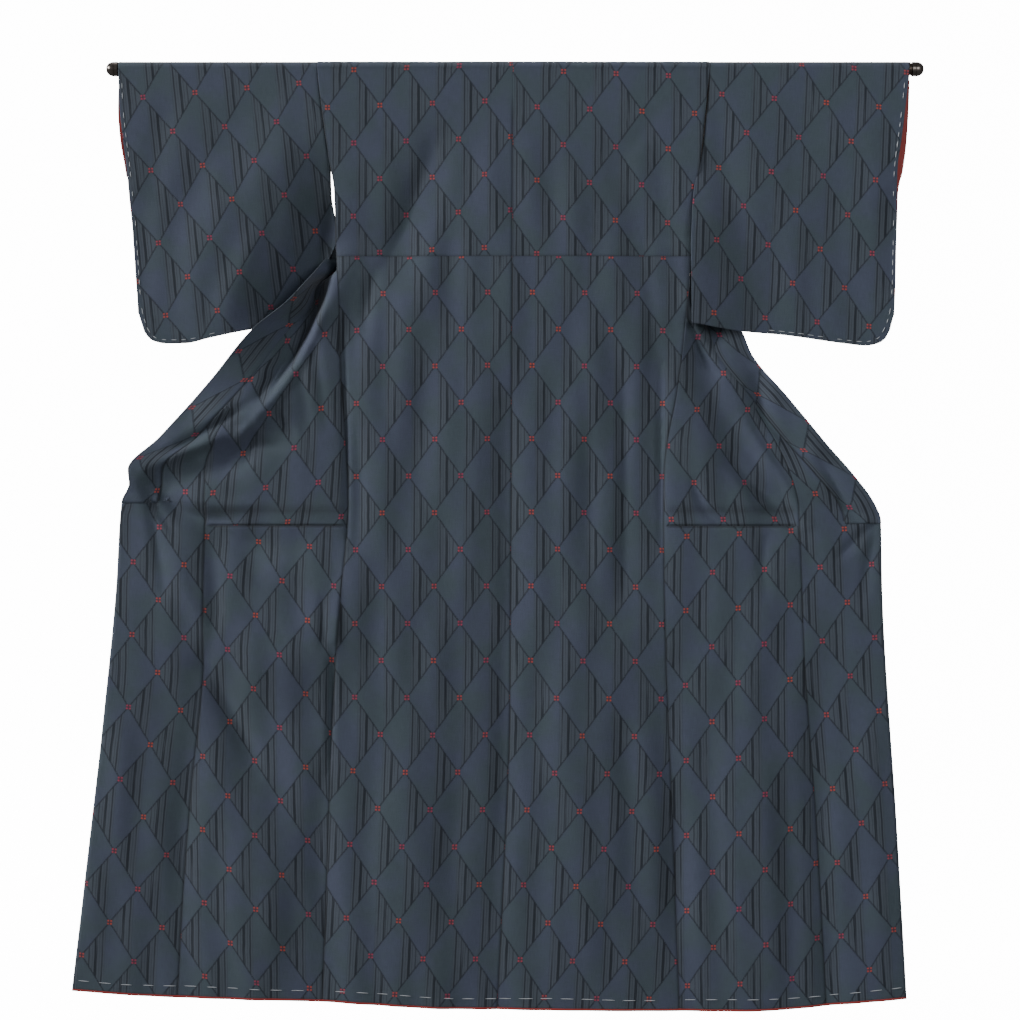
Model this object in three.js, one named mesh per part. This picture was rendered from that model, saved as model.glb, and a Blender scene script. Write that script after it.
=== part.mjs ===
// A woman's lined kimono hung over a plain telescopic rod, shown from its back.
// Units are millimetres. +Z is up, X runs along the rod, and the back of the garment faces -Y.
// The origin lies on the axis of the rod, below the centre back seam.
// The cloth is one wall that stands for the outer cloth with its lining, cut into the sewn pieces.
import * as THREE from "three";

// Driving dimensions
const wall = 1.6; // outer cloth and lining together
const seam = 0.3; // gap between two pieces that are sewn together
const rodRadius = 10;
const rodLeft = -657.5; // the rod proper, between its two end caps
const rodRight = 662.5;
const capRadius = 12;
const capLength = 20;
const hang = 11.2; // radius of the middle of the cloth where it turns over the rod
const garmentLength = 1545; // shoulder fold to hem, along the sides
const neckTurn = 62; // degrees past the top of the rod at which the back meets the neck band
const neckLift = 0.8; // the back stands this far off the rod around the neck opening
const neckBand = 52; // depth of the collar behind the neck
const leftCollarEnd = -719; // height at which each end of the collar is finished off
const rightCollarEnd = -753;
const hemRoll = 3; // height of the lining that shows below the hem
const foldSteps = 4; // facets of the cloth over a quarter of the rod
const backFoldSteps = 7; // and of the back, which reaches over it to the neck band
const tuckStep = 1.6; // the front's start, clear of the back's edge, where it turns in
const swingGap = 2.4; // room between front and collar where they lie back to back
const billowGap = 0.9; // and where the front's slack folds meet the collar
const neckFade = [78, 100]; // x between which the back's top edge rises from the neck band to the fold
const centreDepth = 8; // how far the lower back hangs towards the view, once clear of the rod
const collarCrown = 2.5; // how round the collar stands where it hangs free
const sleeveDepth = 1.3; // half the room between the two layers of a closed sleeve
const sleeveWave = 2.5; // height of the soft wave across both layers of a sleeve
const cuffReach = 3; // how far the lining stands out past the far edge of a cuff
const cuffWall = 1;
const hemWall = 2.2;
const roundSides = 24;
const waistTuck = -312; // height of the tuck that is sewn across the back
const frontTuck = -760; // and of the one across each front

// Outlines of the two sides. x is measured outwards from the middle, y away from the back view.
// side: the side seam, and above it the sleeve seam. edge: the collar's free edge, then the overlap's.
// turn: where the collar points in its row. 0 is to the middle, 90 straight back, 180 outwards.
// band: width of the collar along the row. billow and tuck: how far the front's slack swells back and in.
const leftLevels = [
  { z: 0, side: 326, sideY: 11.2, edge: 40, edgeY: 13.5, turn: 0, band: 66, billow: 0, tuck: 0 },
  { z: -60, side: 319, sideY: 11.2, edge: 94, edgeY: 14, turn: 0, band: 66, billow: 8, tuck: 0 },
  { z: -120, side: 311, sideY: 11.5, edge: 148, edgeY: 15, turn: 0, band: 66, billow: 20, tuck: 0 },
  { z: -158, side: 305, sideY: 12, edge: 182, edgeY: 18, turn: 3, band: 64, billow: 26, tuck: 0 },
  { z: -200, side: 298, sideY: 11, edge: 220, edgeY: 26, turn: 10, band: 60, billow: 8, tuck: 0 },
  { z: -222, side: 297, sideY: 7, edge: 240, edgeY: 34, turn: 26, band: 54, billow: 1, tuck: 5 },
  { z: -245, side: 296, sideY: 2, edge: 261, edgeY: 45, turn: 48, band: 42, billow: 0, tuck: 18 },
  { z: -283, side: 296, sideY: -11, edge: 297, edgeY: 50, turn: 95, band: 38, billow: 0, tuck: 22 },
  { z: -300, side: 295.5, sideY: -12, edge: 306, edgeY: 40, turn: 150, band: 38, billow: 0, tuck: 14 },
  { z: -320, side: 294.5, sideY: -12.5, edge: 320, edgeY: 16, turn: 205, band: 42, billow: 0, tuck: 8 },
  { z: -340, side: 293, sideY: -13, edge: 332, edgeY: -9, turn: 240, band: 50, billow: 0, tuck: 0 },
  { z: -355, side: 292, sideY: -13, edge: 345, edgeY: -16, turn: 252, band: 54, billow: 0, tuck: 0 },
  { z: -390, side: 291, sideY: -13, edge: 378, edgeY: -18, turn: 228, band: 58, billow: 0, tuck: 0 },
  { z: -430, side: 290, sideY: -12.5, edge: 429, edgeY: -17, turn: 205, band: 60, billow: 0, tuck: 0 },
  { z: -518, side: 287, sideY: -12, edge: 502, edgeY: -14, turn: 184, band: 62, billow: 0, tuck: 0 },
  { z: -612, side: 280, sideY: -10.5, edge: 587, edgeY: -7, turn: 180, band: 62, billow: 0, tuck: 0 },
  { z: -667, side: 277, sideY: -10, edge: 641, edgeY: -4, turn: 180, band: 56, billow: 0, tuck: 0 },
  { z: -690, side: 276, sideY: -10, edge: 639, edgeY: -4, turn: 180, band: 52, billow: 0, tuck: 0 },
  { z: -720, side: 275, sideY: -9.5, edge: 651, edgeY: -4, turn: 180, band: 58, billow: 0, tuck: 0 },
  { z: -871, side: 286, sideY: -9, edge: 661, edgeY: -5, turn: 180, band: 58, billow: 0, tuck: 0 },
  { z: -1070, side: 301, sideY: -9, edge: 680, edgeY: -6, turn: 180, band: 58, billow: 0, tuck: 0 },
  { z: -1324, side: 310, sideY: -9, edge: 708, edgeY: -7, turn: 180, band: 58, billow: 0, tuck: 0 },
  { z: -1545, side: 318, sideY: -10, edge: 733, edgeY: -8, turn: 180, band: 58, billow: 0, tuck: 0 },
];
const rightLevels = [
  { z: 0, side: 326, sideY: 11.2, edge: 51, edgeY: 13.5, turn: 0, band: 62, billow: 0, tuck: 0 },
  { z: -60, side: 320, sideY: 11.2, edge: 97, edgeY: 14, turn: 0, band: 62, billow: 8, tuck: 0 },
  { z: -120, side: 314, sideY: 11.5, edge: 142, edgeY: 15, turn: 0, band: 62, billow: 20, tuck: 0 },
  { z: -165, side: 309, sideY: 12, edge: 176, edgeY: 18, turn: 3, band: 62, billow: 26, tuck: 0 },
  { z: -208, side: 301, sideY: 11, edge: 209, edgeY: 26, turn: 12, band: 58, billow: 12, tuck: 6 },
  { z: -251, side: 298, sideY: 2, edge: 241, edgeY: 43, turn: 42, band: 46, billow: 0, tuck: 17 },
  { z: -300, side: 296, sideY: -11, edge: 279, edgeY: 52, turn: 70, band: 40, billow: 0, tuck: 22 },
  { z: -327, side: 295, sideY: -10.5, edge: 299, edgeY: 52, turn: 92, band: 38, billow: 0, tuck: 16 },
  { z: -352, side: 293, sideY: -10, edge: 318, edgeY: 44, turn: 120, band: 40, billow: 0, tuck: 0 },
  { z: -381, side: 290, sideY: -9.5, edge: 340, edgeY: 32, turn: 150, band: 46, billow: 0, tuck: 0 },
  { z: -435, side: 285, sideY: -9, edge: 382, edgeY: 18, turn: 178, band: 54, billow: 0, tuck: 0 },
  { z: -473, side: 281, sideY: -8.5, edge: 397, edgeY: 8, turn: 180, band: 58, billow: 0, tuck: 0 },
  { z: -549, side: 270, sideY: -8, edge: 459, edgeY: -1, turn: 180, band: 60, billow: 0, tuck: 0 },
  { z: -621, side: 256, sideY: -8, edge: 518, edgeY: -3, turn: 180, band: 62, billow: 0, tuck: 0 },
  { z: -671, side: 251, sideY: -8, edge: 562, edgeY: -4, turn: 180, band: 62, billow: 0, tuck: 0 },
  { z: -725, side: 250, sideY: -8, edge: 601, edgeY: -4, turn: 180, band: 58, billow: 0, tuck: 0 },
  { z: -752, side: 250, sideY: -8, edge: 611, edgeY: -4, turn: 180, band: 60, billow: 0, tuck: 0 },
  { z: -871, side: 251, sideY: -8, edge: 613, edgeY: -5, turn: 180, band: 60, billow: 0, tuck: 0 },
  { z: -1250, side: 265, sideY: -9, edge: 636, edgeY: -7, turn: 180, band: 60, billow: 0, tuck: 0 },
  { z: -1545, side: 276, sideY: -10, edge: 653, edgeY: -8, turn: 180, band: 60, billow: 0, tuck: 0 },
];

// The seam between the front and its overlap, from the overlap's tip under the collar to the hem.
const leftOverlapSeam = [
  { z: -525, x: 445 },
  { z: -565, x: 470 },
  { z: -612, x: 494 },
  { z: -671, x: 514 },
  { z: -985, x: 516 },
  { z: -1190, x: 535 },
  { z: -1351, x: 548 },
  { z: -1545, x: 558 },
];
const rightOverlapSeam = [
  { z: -525, x: 378 },
  { z: -565, x: 404 },
  { z: -621, x: 438 },
  { z: -671, x: 460 },
  { z: -725, x: 474 },
  { z: -985, x: 484 },
  { z: -1250, x: 504 },
  { z: -1545, x: 520 },
];

const centreSeam = [
  { z: 0, x: -1 },
  { z: -1049, x: -6 },
  { z: -1388, x: -19 },
  { z: -1545, x: -27 },
];
const hemLine = [
  { x: -735, z: -1529 },
  { x: -592, z: -1539 },
  { x: -351, z: -1546 },
  { x: -71, z: -1560 },
  { x: 363, z: -1563 },
  { x: 655, z: -1543 },
];

// The main folds as the back view shows them, each a soft trough along a curve from a over b to c.
// depth is how far it goes in, away from the view, and a negative one is a ridge.
const folds = [
  { ax: -298, az: -296, bx: -348, bz: -418, cx: -410, cz: -535, width: 24, depth: 20 },
  { ax: -300, az: -352, bx: -316, bz: -398, cx: -332, cz: -450, width: 18, depth: -7 },
  { ax: -602, az: -688, bx: -490, bz: -778, cx: -372, cz: -798, width: 30, depth: 13 },
  { ax: -615, az: -664, bx: -497, bz: -588, cx: -378, cz: -548, width: 30, depth: -9 },
  { ax: -590, az: -684, bx: -500, bz: -668, cx: -400, cz: -616, width: 22, depth: 9 },
  { ax: -590, az: -760, bx: -420, bz: -985, cx: -262, cz: -850, width: 64, depth: -11 },
  { ax: -512, az: -940, bx: -454, bz: -1100, cx: -350, cz: -1275, width: 44, depth: 10 },
  { ax: -112, az: -100, bx: -182, bz: -276, cx: -262, cz: -420, width: 44, depth: 10 },
  { ax: -262, az: -330, bx: -272, bz: -560, cx: -262, cz: -780, width: 30, depth: 7 },
  { ax: 158, az: -150, bx: 222, bz: -290, cx: 246, cz: -470, width: 40, depth: 7 },
  { ax: 248, az: -440, bx: 238, bz: -640, cx: 236, cz: -860, width: 28, depth: 8 },
  { ax: 160, az: -430, bx: 190, bz: -640, cx: 196, cz: -900, width: 26, depth: 6 },
  { ax: 282, az: -440, bx: 366, bz: -608, cx: 444, cz: -738, width: 32, depth: 13 },
  { ax: 404, az: -520, bx: 424, bz: -620, cx: 524, cz: -660, width: 20, depth: 7 },
  { ax: 430, az: -680, bx: 450, bz: -720, cx: 480, cz: -770, width: 18, depth: 7 },
  { ax: -8, az: -560, bx: -12, bz: -1000, cx: -27, cz: -1570, width: 20, depth: 5 },
  { ax: -534, az: -1010, bx: -546, bz: -1280, cx: -558, cz: -1560, width: 24, depth: 6 },
  { ax: -312, az: -1150, bx: -316, bz: -1350, cx: -320, cz: -1570, width: 26, depth: 7 },
  { ax: -440, az: -1250, bx: -436, bz: -1400, cx: -434, cz: -1570, width: 50, depth: -8 },
  { ax: -170, az: -900, bx: -172, bz: -1250, cx: -168, cz: -1570, width: 56, depth: -8 },
  { ax: 104, az: -760, bx: 112, bz: -1200, cx: 124, cz: -1570, width: 58, depth: -7 },
  { ax: 262, az: -1000, bx: 272, bz: -1300, cx: 280, cz: -1570, width: 30, depth: 8 },
  { ax: 398, az: -900, bx: 404, bz: -1250, cx: 410, cz: -1570, width: 54, depth: -8 },
  { ax: 508, az: -1000, bx: 516, bz: -1300, cx: 522, cz: -1570, width: 26, depth: 6 },
];

// The sleeves. inner and outer are their two upright edges, x measured outwards.
// far is the outer edge of the layer that hangs behind, which stands out at the open cuff.
// lean moves the inner edge towards +Y, where one sleeve lies behind the body and the other before it.
const leftSleeve = {
  levels: [
    { z: 0, inner: 327, outer: 656, far: 656.5, lean: 0 },
    { z: -60, inner: 320, outer: 654, far: 655.5, lean: 0 },
    { z: -120, inner: 312, outer: 648, far: 651, lean: 0 },
    { z: -158, inner: 306, outer: 643, far: 646, lean: 1 },
    { z: -208, inner: 305, outer: 639, far: 641, lean: 2 },
    { z: -250, inner: 303, outer: 635, far: 636, lean: 3 },
    { z: -283, inner: 301.5, outer: 633, far: 633, lean: 3 },
    { z: -312, inner: 317, outer: 631, far: 631, lean: 4 },
    { z: -345, inner: 341, outer: 629, far: 629, lean: 6 },
    { z: -385, inner: 377, outer: 626, far: 626, lean: 10 },
    { z: -424, inner: 392, outer: 624, far: 624, lean: 14 },
  ],
  bottom: [
    { x: 385, z: -426 },
    { x: 429, z: -431 },
    { x: 505, z: -447 },
    { x: 546, z: -456 },
    { x: 578, z: -456.5 },
    { x: 600, z: -452 },
    { x: 614, z: -438 },
    { x: 624, z: -405 },
  ],
  cuff: -208,
};
const rightSleeve = {
  levels: [
    { z: 0, inner: 327, outer: 657, far: 661, lean: 0 },
    { z: -60, inner: 322, outer: 651, far: 658, lean: 0 },
    { z: -120, inner: 316, outer: 644, far: 654, lean: 0 },
    { z: -165, inner: 311, outer: 638, far: 649, lean: -1 },
    { z: -208, inner: 305, outer: 637, far: 641, lean: -9 },
    { z: -251, inner: 303.5, outer: 638, far: 639, lean: -17 },
    { z: -300, inner: 302, outer: 637, far: 637, lean: -22 },
    { z: -352, inner: 300, outer: 636, far: 636, lean: -24 },
    { z: -424, inner: 298, outer: 633, far: 633, lean: -25 },
  ],
  bottom: [
    { x: 298, z: -424 },
    { x: 381, z: -437 },
    { x: 444, z: -442 },
    { x: 552, z: -456.5 },
    { x: 588, z: -460 },
    { x: 610, z: -455 },
    { x: 624, z: -442 },
    { x: 633, z: -408 },
  ],
  cuff: -208,
};

// Rows of the body pieces, as heights below the shoulder fold. The sewn pieces share them.
const bodyRows = [
  0, -30, -60, -100, -140, -180, -220, -250, -283, -300, -320, -345, -370, -395, -425, -460, -495, -525,
  -565, -605, -640, -671, -695, -718, -719.5, -752, -753.5, -800, -850, -910, -980, -1060, -1150, -1250,
  -1350, -1450, -1505, -1545,
];
const sleeveRows = [0.06, 0.14, 0.24, 0.34, 0.44, 0.54, 0.64, 0.74, 0.84, 0.92, 0.97, 1];
const backSplits = [0, 0.1, 0.2, 0.27, 0.316, 0.42, 0.55, 0.68, 0.84, 1]; // closer beside the neck
const frontColumns = 8;
const overlapColumns = 4;
const collarColumns = 3;
const sleeveColumns = [0, 0.1, 0.2, 0.32, 0.45, 0.58, 0.7, 0.8, 0.87, 0.92, 0.965, 1];
const cuffRows = [0.04, 0.12, 0.2, 0.28, 0.36, 0.44];

// Materials
function cloth(color) {
  return new THREE.MeshStandardMaterial({ color, roughness: 0.9, metalness: 0, side: THREE.DoubleSide });
}
const kasuriCloth = cloth("#424b58");
const redLining = cloth("#a3352e");
const darkMetal = new THREE.MeshStandardMaterial({ color: "#2d2a29", roughness: 0.45, metalness: 0.7 });
const capMetal = new THREE.MeshStandardMaterial({ color: "#3a3634", roughness: 0.4, metalness: 0.7 });

// A smooth curve through one column of a table, which never swings past its neighbours.
function through(table, from, to) {
  const rows = [...table].sort((a, b) => a[from] - b[from]);
  const x = rows.map((row) => row[from]);
  const y = rows.map((row) => row[to]);
  const last = x.length - 1;
  const slope = y.slice(1).map((value, i) => (value - y[i]) / (x[i + 1] - x[i]));
  const tangent = y.map((value, i) => {
    if (i === 0) return slope[0];
    if (i === last) return slope[last - 1];
    const both = slope[i - 1] * slope[i];
    return both > 0 ? (2 * both) / (slope[i - 1] + slope[i]) : 0;
  });
  return (at) => {
    if (at <= x[0]) return y[0];
    if (at >= x[last]) return y[last];
    let i = 0;
    while (at > x[i + 1]) i += 1;
    const step = x[i + 1] - x[i];
    const t = (at - x[i]) / step;
    const rest = 1 - t;
    return (
      y[i] * (1 + 2 * t) * rest * rest +
      tangent[i] * step * t * rest * rest +
      y[i + 1] * t * t * (3 - 2 * t) -
      tangent[i + 1] * step * t * t * rest
    );
  };
}

function ease(from, to, at) {
  const t = Math.min(1, Math.max(0, (at - from) / (to - from)));
  return t * t * (3 - 2 * t);
}

function mix(a, b, t) {
  return a + (b - a) * t;
}

// How deep one fold is at a point of the back view: greatest along its curve, fading at both ends.
const foldPieces = 8;
const foldCurves = folds.map((fold) => {
  const points = [];
  for (let i = 0; i <= foldPieces; i += 1) {
    const t = i / foldPieces;
    const rest = 1 - t;
    points.push([
      rest * rest * fold.ax + 2 * t * rest * (2 * fold.bx - (fold.ax + fold.cx) / 2) + t * t * fold.cx,
      rest * rest * fold.az + 2 * t * rest * (2 * fold.bz - (fold.az + fold.cz) / 2) + t * t * fold.cz,
    ]);
  }
  return { fold, points };
});

function foldDepth(x, z) {
  let sum = 0;
  for (const { fold, points } of foldCurves) {
    let nearest = Infinity;
    let along = 0;
    for (let i = 0; i < foldPieces; i += 1) {
      const [px, pz] = points[i];
      const dx = points[i + 1][0] - px;
      const dz = points[i + 1][1] - pz;
      const t = Math.min(1, Math.max(0, ((x - px) * dx + (z - pz) * dz) / (dx * dx + dz * dz)));
      const away = Math.hypot(x - px - t * dx, z - pz - t * dz);
      if (away < nearest) {
        nearest = away;
        along = (i + t) / foldPieces;
      }
    }
    const reach = nearest / fold.width;
    const fade = Math.sin(Math.PI * mix(0.12, 0.88, along));
    sum += fold.depth * fade * Math.exp(-reach * reach);
  }
  return sum;
}

// One side of the body: its outlines as curves over the height.
function bodySide(sign, levels, overlapSeam) {
  const at = {};
  for (const column of ["side", "sideY", "edge", "edgeY", "turn", "band", "billow", "tuck"]) {
    at[column] = through(levels, "z", column);
  }
  return { sign, ...at, overlap: through(overlapSeam, "z", "x") };
}
const left = bodySide(-1, leftLevels, leftOverlapSeam);
const right = bodySide(1, rightLevels, rightOverlapSeam);
const centre = through(centreSeam, "z", "x");
const hem = through(hemLine, "x", "z");

const armpit = -283;
const overlapTip = -525;

// The hem isn't level, so the lower rows follow it.
function lowered(x, z) {
  const reach = ease(-600, -garmentLength, z);
  return z * mix(1, -hem(x) / garmentLength, reach);
}

// The depth of the back at a point, from the rod's near face down to the hem.
function backY(side, x, z) {
  const edgeX = side.side(z);
  const seamY = z < armpit ? side.sideY(z) : mix(-hang, side.sideY(armpit), ease(-150, armpit, z));
  const middleY = mix(-hang, -centreDepth, ease(-200, -900, z));
  const share = Math.min(1, Math.abs(x) / edgeX);
  return mix(middleY, seamY, share * share) + foldDepth(x, z) * ease(-40, -140, z);
}

// The corner points of one row of the front: s at the side seam, a at the collar's seam, c at its free edge.
function frontRow(side, z) {
  const turn = THREE.MathUtils.degToRad(side.turn(z));
  const c = [side.edge(z), side.edgeY(z)];
  const a = [c[0] + side.band(z) * Math.cos(turn), c[1] - side.band(z) * Math.sin(turn)];
  const s = [side.side(z) + tuckStep * ease(-250, -283, z) * (1 - ease(-400, -500, z)), side.sideY(z)];
  return { s, a, c };
}

// A point of the front between the side seam (q = 0) and the collar's seam (q = 1).
function frontPoint(side, q, z) {
  const { s, a } = frontRow(side, z);
  const opened = mix(ease(-270, -290, z), ease(-330, -420, z), Math.min(1, q));
  const late = ease(-325, -350, z) * (1 - ease(-400, -470, z));
  const early = ease(2, -8, side.sideY(z));
  const bend = 1 + 1.2 * late + (0.5 - 0.95 * early) * Math.min(1, side.tuck(z) / 18);
  const swell = Math.sin(Math.PI * Math.min(1, q)) ** 2;
  const x = side.sign * (mix(s[0], a[0], q) - side.tuck(z) * swell);
  const y = mix(s[1], a[1], Math.pow(q, bend)) + side.billow(z) * swell;
  return [x, y + opened * foldDepth(x, z)];
}

// A point of the collar between its seam (w = 0) and its free edge (w = 1).
function collarPoint(side, w, z) {
  const { a, c } = frontRow(side, z);
  const opened = ease(-330, -420, z);
  const x = side.sign * mix(a[0], c[0], w);
  const crown = collarCrown * Math.sin(Math.PI * w) * ease(-420, -330, z);
  return [x, mix(a[1], c[1], w) + crown + opened * foldDepth(x, z)];
}

// A closed wall around a grid of points, by moving each point half the wall out along both normals.
function clothPiece(name, material, grid, thickness = wall) {
  const rows = grid.length;
  const columns = grid[0].length;
  const at = (i, j) => grid[Math.min(rows - 1, Math.max(0, i))][Math.min(columns - 1, Math.max(0, j))];
  const front = [];
  const back = [];
  for (let i = 0; i < rows; i += 1) {
    for (let j = 0; j < columns; j += 1) {
      const down = new THREE.Vector3().subVectors(at(i + 1, j), at(i - 1, j));
      const across = new THREE.Vector3().subVectors(at(i, j + 1), at(i, j - 1));
      const normal = across.cross(down).normalize().multiplyScalar(thickness / 2);
      front.push(new THREE.Vector3().addVectors(at(i, j), normal));
      back.push(new THREE.Vector3().subVectors(at(i, j), normal));
    }
  }
  const points = [...front, ...back];
  const half = front.length;
  const faces = [];
  const quad = (a, b, c, d) => faces.push(a, b, c, a, c, d);
  for (let i = 0; i + 1 < rows; i += 1) {
    for (let j = 0; j + 1 < columns; j += 1) {
      const a = i * columns + j;
      const b = a + 1;
      const c = a + columns + 1;
      const d = a + columns;
      quad(a, b, c, d);
      quad(half + a, half + d, half + c, half + b);
    }
  }
  const rim = [];
  for (let j = 0; j < columns - 1; j += 1) rim.push(j);
  for (let i = 0; i < rows - 1; i += 1) rim.push(i * columns + columns - 1);
  for (let j = columns - 1; j > 0; j -= 1) rim.push((rows - 1) * columns + j);
  for (let i = rows - 1; i > 0; i -= 1) rim.push(i * columns);
  rim.forEach((a, k) => {
    const b = rim[(k + 1) % rim.length];
    quad(a, half + a, half + b, b);
  });
  let volume = 0;
  for (let k = 0; k < faces.length; k += 3) {
    const [a, b, c] = [points[faces[k]], points[faces[k + 1]], points[faces[k + 2]]];
    volume += a.dot(new THREE.Vector3().crossVectors(b, c));
  }
  if (volume < 0) faces.reverse();
  const geometry = new THREE.BufferGeometry().setFromPoints(points);
  geometry.setIndex(faces);
  geometry.computeVertexNormals();
  const mesh = new THREE.Mesh(geometry, material);
  mesh.name = name;
  return mesh;
}

// A point of the cloth over the rod, turn in degrees from its top: towards the view where positive.
function overRod(x, turn, lift = 0) {
  const angle = THREE.MathUtils.degToRad(turn);
  const radius = hang + lift;
  return new THREE.Vector3(x, -radius * Math.sin(angle), radius * Math.cos(angle));
}

const seamTurn = 1.7; // degrees of the rod that half a seam takes up

// The rows of a piece above or below the tuck that is sewn across it.
function rowsBeside(tuck, upper) {
  if (upper) return [...bodyRows.filter((z) => z > tuck), tuck + 0.5 * seam];
  return [tuck - 0.5 * seam, ...bodyRows.filter((z) => z < tuck)];
}

function backPiece(side, name, upper) {
  const spot = (u, z) => {
    const inner = centre(z) + side.sign * 0.5 * seam;
    const outer = side.sign * (side.side(z) - 0.5 * seam);
    return mix(inner, outer, u);
  };
  const grid = [];
  for (let step = 0; upper && step < backFoldSteps; step += 1) {
    grid.push(
      backSplits.map((u) => {
        const x = spot(u, 0);
        const neck = 1 - ease(neckFade[0], neckFade[1], Math.abs(x));
        const start = mix(seamTurn, -neckTurn, neck);
        return overRod(x, mix(start, 90, step / backFoldSteps), neckLift * Math.min(1, 8 * neck + 0.7));
      }),
    );
  }
  for (const z of rowsBeside(waistTuck, upper)) {
    grid.push(
      backSplits.map((u) => {
        const x = spot(u, z);
        return new THREE.Vector3(x, backY(side, x, z), lowered(x, z));
      }),
    );
  }
  return clothPiece(name, kasuriCloth, grid);
}

// The room that the front and the collar each leave at their seam.
function collarGap(side, z) {
  const swung = ease(-180, -230, z) * (1 - ease(-430, -500, z));
  const slack = Math.min(1, side.billow(z) / 8);
  return mix(mix(0.5 * seam, billowGap, slack), swingGap, swung);
}

// Where the front stops: at the collar's seam, and below the overlap's tip at the overlap's seam.
function frontEnd(side, z) {
  const { s, a } = frontRow(side, z);
  const gap = collarGap(side, z);
  const length = Math.hypot(a[0] - s[0], a[1] - s[1]);
  const collarEnd = 1 - gap / length;
  if (z > overlapTip) return collarEnd;
  return (side.overlap(z) - 0.5 * seam - s[0]) / (a[0] - s[0]);
}

function frontPiece(side, name, upper) {
  const columns = [...Array(frontColumns + 1).keys()].map((j) => j / frontColumns);
  const grid = [];
  for (let step = 0; upper && step < foldSteps; step += 1) {
    grid.push(
      columns.map((u) => {
        const [x] = frontPoint(side, u * frontEnd(side, 0), 0);
        return overRod(x, mix(-seamTurn, -90, step / foldSteps));
      }),
    );
  }
  for (const z of rowsBeside(frontTuck, upper)) {
    const start = (0.5 * seam) / Math.max(20, Math.abs(frontRow(side, z).a[0] - side.side(z)));
    grid.push(
      columns.map((u) => {
        const [x, y] = frontPoint(side, mix(start, frontEnd(side, z), u), z);
        return new THREE.Vector3(x, y, lowered(x, z));
      }),
    );
  }
  return clothPiece(name, kasuriCloth, grid);
}

// The overlap reaches the collar's seam, and below the collar's end it has the free edge itself.
function overlapPiece(side, name, collarEnd) {
  const columns = [...Array(overlapColumns + 1).keys()].map((j) => j / overlapColumns);
  const grid = [];
  for (const z of bodyRows.filter((row) => row < overlapTip)) {
    const { s, a, c } = frontRow(side, z);
    const inner = (side.overlap(z) + 0.5 * seam - s[0]) / (a[0] - s[0]);
    const outer = z > collarEnd ? 1 - (2 * seam) / (a[0] - s[0]) : (c[0] - s[0]) / (a[0] - s[0]);
    grid.push(
      columns.map((u) => {
        const [x, y] = frontPoint(side, mix(inner, outer, u), z);
        return new THREE.Vector3(x, y, lowered(x, z));
      }),
    );
  }
  return clothPiece(name, kasuriCloth, grid);
}

// The collar: behind the neck it hangs from the rod, then it fans out into the rows beside the front.
const neckFan = [
  { x: 0, z: 4.6, freeX: 0, freeZ: -neckBand + 4 },
  { x: 0.4, z: 4.6, freeX: 0.33, freeZ: -neckBand + 4 },
  { x: 0.76, z: 4.6, freeX: 0.58, freeZ: -neckBand + 3 },
  { x: 0.97, z: -1, freeX: 0.74, freeZ: -neckBand + 1 },
];

function collarPiece(side, name, collarEnd) {
  const columns = [...Array(collarColumns + 1).keys()].map((j) => j / collarColumns);
  const seamX = frontRow(side, 0).a[0];
  const grid = [];
  for (const row of neckFan) {
    const x = side.sign * (row.x * seamX + 0.5 * seam);
    const freeX = side.sign * (row.freeX * seamX + 0.5 * seam);
    grid.push(
      columns.map((w) => {
        const y = mix(row.z > 0 ? 11.2 : 12.8, 16, Math.pow(w, 0.3));
        return new THREE.Vector3(mix(x, freeX, w), y, mix(row.z, row.freeZ, w));
      }),
    );
  }
  const rows = bodyRows.filter((row) => row <= -30 && row > collarEnd);
  for (const z of rows) {
    const start = collarGap(side, z) / side.band(z);
    const lift = z === rows[rows.length - 1] ? 2 * seam : 0;
    grid.push(
      columns.map((u) => {
        const [x, y] = collarPoint(side, mix(start, 1, u), z);
        const drop = mix(0, -neckBand * 0.6, u) * (1 - ease(-20, -100, z));
        return new THREE.Vector3(x, y, lowered(x, z) + drop + lift);
      }),
    );
  }
  return clothPiece(name, kasuriCloth, grid);
}

// One layer of a sleeve, near (-1) or far (+1), from the shoulder fold down to the bottom seam.
function sleeveSurface(sign, sleeve, layer) {
  const inner = through(sleeve.levels, "z", "inner");
  const outer = through(sleeve.levels, "z", layer < 0 ? "outer" : "far");
  const lean = through(sleeve.levels, "z", "lean");
  const bottom = through(sleeve.bottom, "x", "z");
  const lowInner = sleeve.levels[sleeve.levels.length - 1].inner;
  const lowOuter = sleeve.levels[sleeve.levels.length - 1].outer;
  return (u, f) => {
    const z = f * bottom(mix(lowInner, lowOuter, u));
    const x = mix(inner(z), outer(z), u);
    const depth = mix(hang, sleeveDepth, ease(0.05, 0.98, f));
    const shut = ease(sleeve.cuff + 20, sleeve.cuff - 40, z) * ease(0.86, 0.99, u);
    const open = mix(depth, sleeveDepth, shut);
    const sway = lean(z) * (1 - ease(0, 0.42, u));
    const ripple = sleeveWave * Math.sin(7 * u + 1.3) * ease(0.2, 0.9, f) * Math.sin(Math.PI * u);
    return new THREE.Vector3(sign * x, layer * open + sway + ripple, z);
  };
}

function sleevePiece(sign, sleeve, layer, name) {
  const surface = sleeveSurface(sign, sleeve, layer);
  const grid = [];
  for (let step = 0; step < foldSteps; step += 1) {
    grid.push(
      sleeveColumns.map((u) => {
        const { x } = surface(u, 0);
        return overRod(x, -layer * mix(seamTurn, 90, step / foldSteps));
      }),
    );
  }
  grid.push(sleeveColumns.map((u) => surface(u, 0)));
  for (const f of sleeveRows) grid.push(sleeveColumns.map((u) => surface(u, f)));
  return clothPiece(name, kasuriCloth, grid);
}

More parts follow.
